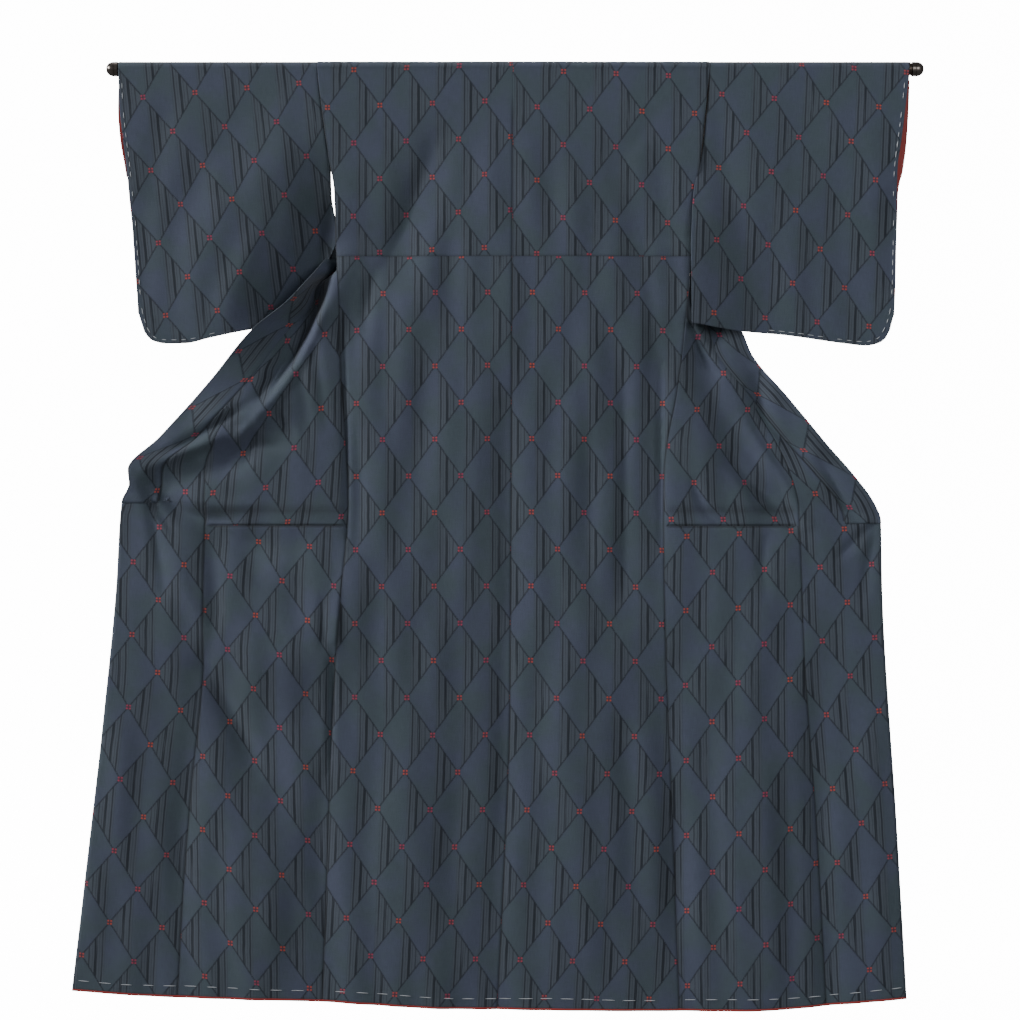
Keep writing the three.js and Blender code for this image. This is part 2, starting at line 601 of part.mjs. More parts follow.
// The red lining stands out a little past the far edge of each cuff.
function cuffLining(sign, sleeve, name) {
  const surface = sleeveSurface(sign, sleeve, 1);
  const grid = [];
  const [top] = cuffRows;
  const low = cuffRows[cuffRows.length - 1];
  for (const f of cuffRows) {
    const edge = surface(1, f);
    const out = cuffReach * Math.sin(Math.PI * mix(0.15, 0.92, (f - top) / (low - top)));
    const steps = [seam, 0.5 * out + seam, out + seam];
    grid.push(steps.map((far) => edge.clone().add(new THREE.Vector3(sign * far, 0, 0))));
  }
  return clothPiece(name, redLining, grid, cuffWall);
}

// The red lining that rolls out under the hem, half of it on each side of the centre seam.
function hemLining(side, name) {
  const z = -garmentLength;
  const { s, a, c } = frontRow(side, z);
  const reach = (c[0] - s[0]) / (a[0] - s[0]);
  const bottom = [];
  for (const u of backSplits) {
    const x = mix(centre(z) + side.sign * 0.5 * seam, side.sign * s[0], u);
    bottom.push([x, backY(side, x, z)]);
  }
  const steps = frontColumns + overlapColumns;
  for (let j = 1; j <= steps; j += 1) bottom.push(frontPoint(side, (reach * j) / steps, z));
  const grid = [seam, 0.5 * hemRoll + seam, hemRoll + seam].map((below) =>
    bottom.map(([x, y]) => new THREE.Vector3(x, y, lowered(x, z) - below)),
  );
  return clothPiece(name, redLining, grid, hemWall);
}

// The rod and its two end caps, turned around the X axis.
function turned(name, material, profile, x) {
  const geometry = new THREE.LatheGeometry(
    profile.map(([radius, along]) => new THREE.Vector2(radius, along)),
    roundSides,
  );
  geometry.rotateZ(-Math.PI / 2);
  const mesh = new THREE.Mesh(geometry, material);
  mesh.name = name;
  mesh.position.x = x;
  return mesh;
}

const rodProfile = [
  [0, rodLeft],
  [rodRadius, rodLeft],
  [rodRadius, rodRight],
  [0, rodRight],
];
function capProfile(direction) {
  const half = [
    [0, 0],
    [capRadius, 0],
    [capRadius, capLength * 0.72],
    [capRadius * 0.86, capLength * 0.9],
    [capRadius * 0.5, capLength * 0.98],
    [0, capLength],
  ];
  return direction > 0 ? half : half.map(([radius, along]) => [radius, -along]).reverse();
}

const kimono = new THREE.Group();
kimono.name = "kimono";
kimono.add(turned("rod", darkMetal, rodProfile, 0));
kimono.add(turned("rod_cap_left", capMetal, capProfile(-1), rodLeft - seam));
kimono.add(turned("rod_cap_right", capMetal, capProfile(1), rodRight + seam));
kimono.add(backPiece(left, "back_left", true));
kimono.add(backPiece(right, "back_right", true));
kimono.add(backPiece(left, "back_left_lower", false));
kimono.add(backPiece(right, "back_right_lower", false));
kimono.add(frontPiece(left, "front_left", true));
kimono.add(frontPiece(right, "front_right", true));
kimono.add(frontPiece(left, "front_left_lower", false));
kimono.add(frontPiece(right, "front_right_lower", false));
kimono.add(overlapPiece(left, "overlap_left", leftCollarEnd));
kimono.add(overlapPiece(right, "overlap_right", rightCollarEnd));
kimono.add(collarPiece(left, "collar_left", leftCollarEnd));
kimono.add(collarPiece(right, "collar_right", rightCollarEnd));
kimono.add(sleevePiece(-1, leftSleeve, -1, "sleeve_left_back"));
kimono.add(sleevePiece(-1, leftSleeve, 1, "sleeve_left_front"));
kimono.add(sleevePiece(1, rightSleeve, -1, "sleeve_right_back"));
kimono.add(sleevePiece(1, rightSleeve, 1, "sleeve_right_front"));
kimono.add(cuffLining(-1, leftSleeve, "cuff_lining_left"));
kimono.add(cuffLining(1, rightSleeve, "cuff_lining_right"));
kimono.add(hemLining(left, "hem_lining_left"));
kimono.add(hemLining(right, "hem_lining_right"));

export default kimono;
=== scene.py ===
# A lined kimono over its hanging rod, seen from the back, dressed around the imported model.
# Shapes are worked out in millimetres, as a maker measures cloth, and written to meshes in metres.
import math

import bpy
import numpy as np
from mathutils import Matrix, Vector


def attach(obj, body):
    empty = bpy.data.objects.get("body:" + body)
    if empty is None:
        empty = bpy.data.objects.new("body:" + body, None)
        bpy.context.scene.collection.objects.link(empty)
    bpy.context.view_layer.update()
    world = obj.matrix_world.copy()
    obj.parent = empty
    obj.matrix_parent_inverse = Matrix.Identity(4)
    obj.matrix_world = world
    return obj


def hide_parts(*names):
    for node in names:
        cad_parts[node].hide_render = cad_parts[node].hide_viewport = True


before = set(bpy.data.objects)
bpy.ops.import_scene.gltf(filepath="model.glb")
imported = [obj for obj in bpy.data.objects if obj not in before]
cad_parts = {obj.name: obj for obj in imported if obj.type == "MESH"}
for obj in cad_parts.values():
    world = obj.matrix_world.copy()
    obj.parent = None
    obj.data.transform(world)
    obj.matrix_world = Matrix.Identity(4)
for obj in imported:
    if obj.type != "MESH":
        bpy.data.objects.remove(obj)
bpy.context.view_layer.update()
mm = 0.001

print("stage 1: measurements")

# What a user might change on the whole garment
garment = {
    "wall": 1.5,  # outer cloth with its lining
    "seam": 0.25,  # gap between two sewn pieces
    "seamDip": 0.5,  # how deep a sewn edge rolls in
    "hang": 11.2,  # radius of the middle of the cloth over the rod
    "length": 1545,  # shoulder fold to hem, along the sides
    "armpit": -283,  # this and the next three are heights under the shoulder fold
    "overlapTip": -525,
    "collarEndLeft": -719,
    "collarEndRight": -753,
    "neckTurn": 62,  # degrees that the back's top edge goes over the rod at the neck
    "neckBand": 52,
    "neckLift": 0.8,
    "backTuck": -312,  # height of the tuck across the back at the waist
    "frontTuck": -760,  # height of the tuck across the fronts
    "backWidth": 302,  # widths that show, from seam to seam
    "frontWidth": 252,
    "overlapWidth": 100,  # at the collar's end, up to the collar's seam
    "collarWidth": 58,
    "sleeveWidth": 340,
    "sleeveSeam": 327,  # how far out the sleeve's seam lies at the shoulder
}

# One row for each height z. side: side seam. edge: free edge.
# turn: where the collar points, 0 to the middle, 90 back, 180 outwards.
levelColumns = ("z", "side", "sideY", "edge", "edgeY", "turn", "band", "billow", "tuck")
leftLevels = [
    (0, 326, 11.2, 40, 13.5, 0, 66, 0, 0),
    (-60, 319, 11.2, 94, 14, 0, 66, 8, 0),
    (-120, 311, 11.5, 148, 15, 0, 66, 20, 0),
    (-158, 305, 12, 182, 18, 3, 64, 26, 0),
    (-200, 298, 11, 220, 26, 10, 60, 8, 0),
    (-222, 297, 7, 240, 34, 26, 54, 1, 5),
    (-245, 296, 2, 261, 45, 48, 42, 0, 18),
    (-283, 296, -11, 297, 50, 95, 38, 0, 22),
    (-300, 295.5, -12, 306, 40, 150, 38, 0, 14),
    (-320, 294.5, -12.5, 320, 16, 205, 42, 0, 8),
    (-340, 293, -13, 332, -9, 240, 50, 0, 0),
    (-355, 292, -13, 345, -16, 252, 54, 0, 0),
    (-390, 291, -13, 378, -18, 228, 58, 0, 0),
    (-430, 290, -12.5, 429, -17, 205, 60, 0, 0),
    (-518, 287, -12, 502, -14, 184, 62, 0, 0),
    (-612, 280, -10.5, 587, -7, 180, 62, 0, 0),
    (-667, 277, -10, 641, -4, 180, 56, 0, 0),
    (-690, 276, -10, 639, -4, 180, 52, 0, 0),
    (-720, 275, -9.5, 651, -4, 180, 58, 0, 0),
    (-871, 286, -9, 661, -5, 180, 58, 0, 0),
    (-1070, 301, -9, 680, -6, 180, 58, 0, 0),
    (-1324, 310, -9, 708, -7, 180, 58, 0, 0),
    (-1545, 318, -10, 733, -8, 180, 58, 0, 0),
]
rightLevels = [
    (0, 326, 11.2, 51, 13.5, 0, 62, 0, 0),
    (-60, 320, 11.2, 97, 14, 0, 62, 8, 0),
    (-120, 314, 11.5, 142, 15, 0, 62, 20, 0),
    (-165, 309, 12, 176, 18, 3, 62, 26, 0),
    (-208, 301, 11, 209, 26, 12, 58, 12, 6),
    (-251, 298, 2, 241, 43, 42, 46, 0, 17),
    (-300, 296, -11, 279, 52, 70, 40, 0, 22),
    (-327, 295, -10.5, 299, 52, 92, 38, 0, 16),
    (-352, 293, -10, 318, 44, 120, 40, 0, 0),
    (-381, 290, -9.5, 340, 32, 150, 46, 0, 0),
    (-435, 285, -9, 382, 18, 178, 54, 0, 0),
    (-473, 281, -8.5, 397, 8, 180, 58, 0, 0),
    (-549, 270, -8, 459, -1, 180, 60, 0, 0),
    (-621, 256, -8, 518, -3, 180, 62, 0, 0),
    (-671, 251, -8, 562, -4, 180, 62, 0, 0),
    (-725, 250, -8, 601, -4, 180, 58, 0, 0),
    (-752, 250, -8, 611, -4, 180, 60, 0, 0),
    (-871, 251, -8, 613, -5, 180, 60, 0, 0),
    (-1250, 265, -9, 636, -7, 180, 60, 0, 0),
    (-1545, 276, -10, 653, -8, 180, 60, 0, 0),
]
leftOverlapSeam = [(-525, 445), (-565, 470), (-612, 494), (-671, 514), (-985, 516), (-1190, 535),
                   (-1351, 548), (-1545, 558)]
rightOverlapSeam = [(-525, 378), (-565, 404), (-621, 438), (-671, 460), (-725, 474), (-985, 484),
                    (-1250, 504), (-1545, 520)]
centreSeam = [(0, -1), (-1049, -6), (-1388, -19), (-1545, -27)]
hemLine = [(-735, -1529), (-592, -1539), (-351, -1546), (-71, -1560), (363, -1563), (655, -1543)]

# Folds: a soft trough along a curve from a over b to c, with its half width and depth.
# Each row is x and z of a, b and c, then width and depth. A negative depth is a ridge.
mainFolds = [
    (-298, -296, -348, -418, -410, -535, 24, 20),
    (-300, -352, -316, -398, -332, -450, 18, -7),
    (-602, -688, -490, -778, -372, -798, 30, 13),
    (-615, -664, -497, -588, -378, -548, 30, -9),
    (-590, -684, -500, -668, -400, -616, 22, 9),
    (-590, -760, -420, -985, -262, -850, 64, -11),
    (-512, -940, -454, -1100, -350, -1275, 44, 10),
    (-112, -100, -182, -276, -262, -420, 44, 10),
    (-262, -330, -272, -560, -262, -780, 30, 7),
    (158, -150, 222, -290, 246, -470, 40, 7),
    (248, -440, 238, -640, 236, -860, 28, 8),
    (160, -430, 190, -640, 196, -900, 26, 6),
    (282, -440, 366, -608, 444, -738, 32, 13),
    (404, -520, 424, -620, 524, -660, 20, 7),
    (430, -680, 450, -720, 480, -770, 18, 7),
    (-8, -560, -12, -1000, -27, -1570, 20, 5),
    (-534, -1010, -546, -1280, -558, -1560, 24, 6),
    (-312, -1150, -316, -1350, -320, -1570, 26, 7),
    (-440, -1250, -436, -1400, -434, -1570, 50, -8),
    (-170, -900, -172, -1250, -168, -1570, 56, -8),
    (104, -760, 112, -1200, 124, -1570, 58, -7),
    (262, -1000, 272, -1300, 280, -1570, 30, 8),
    (398, -900, 404, -1250, 410, -1570, 54, -8),
    (508, -1000, 516, -1300, 522, -1570, 26, 6),
]
# Finer creases, which the solids leave out.
fineFolds = [
    # left front, from the armpit down and out to the point where it is held
    (-302, -300, -338, -408, -421, -545, 9, 9),
    (-314, -370, -357, -462, -412, -550, 6, 8),
    (-330, -388, -374, -470, -414, -550, 5, -4),
    (-310, -367, -356, -487, -459, -618, 10, -9),
    (-430, -598, -520, -626, -610, -664, 9, -6),
    (-436, -556, -496, -594, -575, -640, 9, 7),
    (-396, -570, -380, -594, -366, -615, 7, 5),
    (-434, -594, -438, -622, -444, -652, 6, 5),
    (-620, -688, -598, -726, -566, -774, 6, 5),
    (-600, -688, -548, -738, -463, -748, 9, 7),
    (-612, -700, -594, -780, -580, -870, 9, 4),
    (-560, -706, -500, -724, -420, -722, 10, -4),
    (-470, -640, -430, -626, -380, -628, 8, 3),
    (-368, -480, -350, -540, -342, -610, 12, 3),
    (-336, -440, -322, -520, -312, -600, 10, 3),
    (-286, -420, -279, -600, -277, -780, 5, 5),
    (-262, -600, -256, -700, -262, -800, 9, 2.5),
    # back
    (-130, -120, -176, -236, -214, -330, 12, 3),
    (-70, -140, -96, -260, -112, -400, 22, 2.5),
    (-230, -340, -244, -390, -246, -440, 11, 5),
    (-200, -330, -214, -480, -208, -640, 20, 3),
    (-150, -420, -156, -620, -150, -820, 22, 2.5),
    (-60, -480, -64, -700, -60, -900, 20, -2.5),
    (60, -420, 66, -640, 62, -860, 20, 2.5),
    (118, -500, 126, -680, 128, -900, 16, 3.5),
    (182, -500, 184, -640, 180, -880, 10, 3.5),
    (214, -300, 230, -420, 226, -560, 14, 3.5),
    (246, -490, 245, -640, 246, -800, 6, 5),
    # right front
    (290, -372, 322, -452, 352, -512, 12, -6),
    (296, -425, 308, -472, 345, -508, 7, 6),
    (408, -515, 424, -582, 478, -633, 12, 11),
    (360, -645, 404, -704, 462, -757, 11, 8),
    (384, -585, 432, -666, 490, -758, 10, -7),
    (432, -672, 450, -708, 468, -748, 5, 4),
    (300, -685, 314, -726, 345, -757, 8, 6),
    (512, -650, 542, -706, 574, -752, 6, 5),
    (435, -526, 525, -647, 590, -726, 14, -3),
    (600, -742, 560, -736, 500, -712, 8, 3),
    (604, -750, 574, -780, 540, -812, 8, 4),
    (606, -754, 592, -810, 582, -880, 9, 4),
    (420, -780, 414, -820, 420, -880, 9, 3),
    (-292, -860, -294, -920, -298, -965, 8, -4),
    (-316, -880, -317, -920, -314, -965, 6, 4),
    (236, -160, 266, -280, 280, -390, 24, 5),
    # towards the hem
    (-301, -960, -303, -1060, -306, -1170, 6, 5),
    (-516, -985, -462, -1092, -425, -1165, 16, 7),
    (-506, -800, -496, -880, -508, -990, 16, 6),
    (-470, -800, -420, -880, -330, -930, 18, -4),
    (-560, -800, -530, -900, -470, -960, 14, -3),
    (-430, -1010, -400, -1080, -350, -1120, 26, 2.5),
    (-640, -1000, -650, -1200, -664, -1400, 26, -3),
    (-230, -1000, -236, -1200, -240, -1500, 24, 3),
    (-90, -1100, -96, -1300, -100, -1560, 22, 3),
    (40, -1000, 44, -1250, 50, -1560, 24, 3),
    (190, -1100, 196, -1300, 200, -1560, 24, 3),
    (330, -1050, 336, -1250, 344, -1540, 22, 3),
    (450, -1100, 456, -1300, 462, -1540, 22, 3),
    (590, -900, 600, -1150, 612, -1450, 26, -3),
    # below the shoulders
    (250, -20, 226, -90, 178, -150, 16, 2),
    (-270, -20, -236, -80, -180, -150, 16, 2),
    (20, -60, 26, -160, 20, -280, 26, -2),
]

# Sleeve rows: z, inner edge, outer edge of the near layer and of the far one, and how far both lean back.
sleeves = {
    "left": {
        "sign": -1,
        "levels": [
            (0, 327, 656, 656.5, 0),
            (-60, 320, 654, 655.5, 0),
            (-120, 312, 648, 651, 0),
            (-158, 306, 643, 646, 1),
            (-208, 305, 639, 641, 2),
            (-250, 299, 635, 636, 3),
            (-283, 297, 633, 633, 3),
            (-312, 308, 631, 631, 4),
            (-345, 331, 629, 629, 6),
            (-385, 364, 626, 626, 10),
            (-424, 384, 624, 624, 14),
        ],
        "bottom": [(380, -425), (429, -431), (505, -447), (546, -456), (578, -456.5), (600, -452),
                   (614, -438), (624, -405)],
        "cuff": -208,
        "cover": 0,  # how far the near layer's inner edge lies over the body, below its seam
    },
    "right": {
        "sign": 1,
        "levels": [
            (0, 327, 657, 661, 0),
            (-60, 322, 651, 658, 0),
            (-120, 316, 644, 654, 0),
            (-165, 309.8, 638, 649, -1),
            (-208, 301.7, 637, 641, -9),
            (-251, 298.6, 638, 639, -17),
            (-300, 296.8, 637, 637, -22),
            (-352, 297.5, 636, 636, -24),
            (-424, 298, 633, 633, -25),
        ],
        "bottom": [(298, -424), (381, -437), (444, -442), (552, -456.5), (588, -460), (610, -455),
                   (624, -442), (633, -408)],
        "cuff": -208,
        "cover": 3.0,
    },
}


def through(rows, fromColumn=0, toColumn=1):  # a smooth curve that never swings past its rows
    ordered = sorted(rows, key=lambda row: row[fromColumn])
    x = np.array([row[fromColumn] for row in ordered], float)
    y = np.array([row[toColumn] for row in ordered], float)
    slope = np.diff(y) / np.diff(x)
    tangent = np.zeros(len(x))
    tangent[0] = slope[0]
    tangent[-1] = slope[-1]
    both = slope[:-1] * slope[1:]
    total = slope[:-1] + slope[1:]
    total[total == 0] = 1
    tangent[1:-1] = np.where(both > 0, 2 * both / total, 0)

    def curve(at):
        at = np.clip(np.asarray(at, float), x[0], x[-1])
        i = np.clip(np.searchsorted(x, at, side="right") - 1, 0, len(x) - 2)
        step = x[i + 1] - x[i]
        t = (at - x[i]) / step
        rest = 1 - t
        start = y[i] * (1 + 2 * t) * rest * rest + tangent[i] * step * t * rest * rest
        end = y[i + 1] * t * t * (3 - 2 * t) - tangent[i + 1] * step * t * t * rest
        return start + end

    return curve


def ease(start, end, at):
    t = np.clip((np.asarray(at, float) - start) / (end - start), 0, 1)
    return t * t * (3 - 2 * t)


def mix(a, b, t):
    return a + (b - a) * t


foldPieces = 8  # straight runs in each fold's curve


def foldCurve(fold):
    ax, az, bx, bz, cx, cz, width, depth = fold
    t = np.linspace(0, 1, foldPieces + 1)
    rest = 1 - t
    x = rest * rest * ax + 2 * t * rest * (2 * bx - (ax + cx) / 2) + t * t * cx
    z = rest * rest * az + 2 * t * rest * (2 * bz - (az + cz) / 2) + t * t * cz
    return np.stack([x, z], 1), width, depth


foldCurves = [foldCurve(fold) for fold in mainFolds + fineFolds]


def foldDepth(x, z, curves=foldCurves):
    x, z = np.broadcast_arrays(np.asarray(x, float), np.asarray(z, float))
    total = np.zeros(x.shape)
    for points, width, depth in curves:
        near = np.full(x.shape, 1e9)
        along = np.zeros(x.shape)
        for i in range(foldPieces):
            px, pz = points[i]
            dx, dz = points[i + 1] - points[i]
            t = np.clip(((x - px) * dx + (z - pz) * dz) / (dx * dx + dz * dz), 0, 1)
            away = np.hypot(x - px - t * dx, z - pz - t * dz)
            closer = away < near
            near = np.where(closer, away, near)
            along = np.where(closer, (i + t) / foldPieces, along)
        fade = np.sin(np.pi * mix(0.12, 0.88, along))
        total += depth * fade * np.exp(-((near / width) ** 2))
    return total


# Soft unevenness of hanging cloth: mostly upright, a millimetre or less.
unevenness = {
    "seed": 11,
    "count": 14,
    "height": 0.42,
    "shortest": 55,
    "longest": 190,
    "from": -70,  # it comes in from this height
    "full": -220,  # down to this one
}
waveRandom = np.random.default_rng(unevenness["seed"])
waveRows = [
    (
        2 * np.pi / waveRandom.uniform(unevenness["shortest"], unevenness["longest"]),
        waveRandom.normal(0, 0.32),
        waveRandom.uniform(0, 2 * np.pi),
        waveRandom.uniform(0.5, 1),
    )
    for _ in range(unevenness["count"])
]


def softWave(x, z):
    total = 0
    for rate, lean, phase, height in waveRows:
        total = total + height * np.sin(rate * (x + lean * z) + phase + 0.8 * np.sin(z / 170 + phase))
    return unevenness["height"] * total * ease(unevenness["from"], unevenness["full"], z)


class bodySide:
    def __init__(self, sign, levels, overlapSeam):
        self.sign = sign
        for column, name in enumerate(levelColumns):
            if name != "z":
                setattr(self, name, through(levels, 0, column))
        self.overlap = through(overlapSeam)


left = bodySide(-1, leftLevels, leftOverlapSeam)
right = bodySide(1, rightLevels, rightOverlapSeam)
centre = through(centreSeam)
hem = through(hemLine)
armpit = garment["armpit"]
overlapTop = garment["overlapTip"] - 40  # the overlap's point lies under the collar's seam
wall = garment["wall"]
seam = garment["seam"]
hang = garment["hang"]
swingOut = (-330, -420)  # between these heights the front turns from hanging forwards to lying open
sewnDown = {"shoulder": (-30, -90), "collar": (-480, -560)}  # heights between which a seam's roll comes in


def lowered(x, z):  # the hem isn't level, so the lower rows follow it
    return z * mix(1, -hem(x) / garment["length"], ease(-600, -garment["length"], z))


def backY(side, x, z):
    seamY = np.where(z < armpit, side.sideY(z), mix(-hang, side.sideY(armpit), ease(-150, armpit, z)))
    middleY = mix(-hang, -8, ease(-200, -900, z))
    share = np.minimum(1, np.abs(x) / side.side(z))
    relief = foldDepth(x, z) * ease(-40, -140, z) + softWave(x, z)
    return mix(middleY, seamY, share * share) + relief


def frontRow(side, z):
    turn = np.radians(side.turn(z))
    c = (side.edge(z), side.edgeY(z))
    a = (c[0] + side.band(z) * np.cos(turn), c[1] - side.band(z) * np.sin(turn))
    s = (side.side(z) - 0.5 * ease(-250, -283, z) * (1 - ease(-400, -500, z)), side.sideY(z))
    return s, a, c


def frontPoint(side, q, z):
    s, a, _ = frontRow(side, z)
    opened = mix(ease(-270, -290, z), ease(*swingOut, z), np.minimum(1, q))
    late = ease(-325, -350, z) * (1 - ease(-400, -470, z))
    early = ease(2, -8, side.sideY(z))
    bend = 1 + 1.2 * late + (0.5 - 0.95 * early) * np.minimum(1, side.tuck(z) / 18)
    swell = np.sin(np.pi * np.minimum(1, q)) ** 2
    x = side.sign * (mix(s[0], a[0], q) - side.tuck(z) * swell)
    y = mix(s[1], a[1], np.maximum(q, 0) ** bend) + side.billow(z) * swell
    return x, y + opened * (foldDepth(x, z) + softWave(x, z))


def collarPoint(side, w, z):
    _, a, c = frontRow(side, z)
    opened = ease(*swingOut, z)
    x = side.sign * mix(a[0], c[0], w)
    crown = 2.5 * np.sin(np.pi * w) * ease(*swingOut[::-1], z)
    return x, mix(a[1], c[1], w) + crown + opened * (foldDepth(x, z) + softWave(x, z))


def collarGap(side, z):
    swung = ease(-180, -230, z) * (1 - ease(-430, -500, z))
    slack = np.minimum(1, side.billow(z) / 8)
    return mix(mix(0.5 * seam, 0.4, slack), 0.3, swung)


def frontEnd(side, z):
    s, a, _ = frontRow(side, z)
    length = np.hypot(a[0] - s[0], a[1] - s[1])
    collarEnd = 1 - collarGap(side, z) / length
    overlapStart = (side.overlap(z) - 0.5 * seam - s[0]) / np.where(np.abs(a[0] - s[0]) < 1, 1, a[0] - s[0])
    return np.where(z > overlapTop, collarEnd, overlapStart)


print("stage 2: finishes")


def linear(red, green, blue):  # a picture's colour as light
    return tuple(
        (c / 255 / 12.92 if c <= 10 else ((c / 255 + 0.055) / 1.055) ** 2.4) for c in (red, green, blue)
    ) + (1,)


class nodeSheet:  # one node tree with short ways to add to it
    def __init__(self, tree):
        self.tree = tree

    def add(self, kind, **settings):
        node = self.tree.nodes.new(kind)
        for name, value in settings.items():
            setattr(node, name, value)
        return node

    def plug(self, value, socket):
        if isinstance(value, bpy.types.NodeSocket):
            self.tree.links.new(value, socket)
        else:
            socket.default_value = value

    def sum(self, operation, *values, clamp=False):
        node = self.add("ShaderNodeMath", operation=operation, use_clamp=clamp)
        for value, socket in zip(values, node.inputs):
            self.plug(value, socket)
        return node.outputs[0]

    def band(self, value, low, high):  # 0 below low, 1 above high
        node = self.add("ShaderNodeMapRange", interpolation_type="SMOOTHSTEP", clamp=True)
        self.plug(value, node.inputs["Value"])
        node.inputs["From Min"].default_value = low
        node.inputs["From Max"].default_value = high
        return node.outputs["Result"]

    def blend(self, share, first, second):
        node = self.add("ShaderNodeMix", data_type="RGBA")
        self.plug(share, node.inputs["Factor"])
        self.plug(first, node.inputs["A"])
        self.plug(second, node.inputs["B"])
        return node.outputs["Result"]

    def noise(self, vector, scale, detail=2.0, roughness=0.5):
        node = self.add("ShaderNodeTexNoise")
        self.tree.links.new(vector, node.inputs["Vector"])
        node.inputs["Scale"].default_value = scale
        node.inputs["Detail"].default_value = detail
        node.inputs["Roughness"].default_value = roughness
        return node.outputs["Fac"]

    def stretched(self, vector, x, y, z=1.0):
        node = self.add("ShaderNodeMapping")
        self.tree.links.new(vector, node.inputs["Vector"])
        node.inputs["Scale"].default_value = (x, y, z)
        return node.outputs["Vector"]


def shaderGroup(name, inputs, outputs):
    tree = bpy.data.node_groups.new(name, "ShaderNodeTree")
    for label, kind in inputs:
        tree.interface.new_socket(label, in_out="INPUT", socket_type=kind)
    for label, kind in outputs:
        tree.interface.new_socket(label, in_out="OUTPUT", socket_type=kind)
    sheet = nodeSheet(tree)
    source = sheet.add("NodeGroupInput").outputs
    target = sheet.add("NodeGroupOutput").inputs
    return tree, sheet, source, target


kasuri = {
    "diamondWidth": 87.0,  # mm between two marks in a row
    "diamondHeight": 121.5,
    "lineHalf": 1.25,  # half the width of a diamond's outline
    "bars": ((5.6, 0.4, 0.3), (9.8, 1.1, 0.85), (14.4, 0.5, 0.4), (20.4, 2.1, 1), (25.6, 0.5, 0.45),
             (31.2, 0.9, 0.7)),  # upright bars: mm right of a diamond's middle, half width, strength
    "markHalf": 5.4,  # half the height of the red mark
    "markDots": (2.5, 2.3, 1.0),  # how far out its four dots lie, and their soft edge's two radii
    "paintedShadeAmount": 0.5,  # painted shade: how much darker the colour is painted where the cloth rolls into a seam or tuck
    "dotPitch": 1.7,
    "dotContrast": 0.30,
    "weavePitch": 0.9,
    "wander": (45, 1.6),  # how fine and how far, in mm, the pattern wanders
    "ground": linear(59, 66, 83),
    "groundWarm": linear(57, 68, 76),
    "striped": linear(62, 69, 78),  # between the upright bars
    "line": linear(25, 32, 41),
    "bar": linear(20, 26, 35),
    "mark": linear(138, 48, 76),
    "markWarm": linear(156, 66, 50),
    "markDark": linear(72, 42, 54),
}


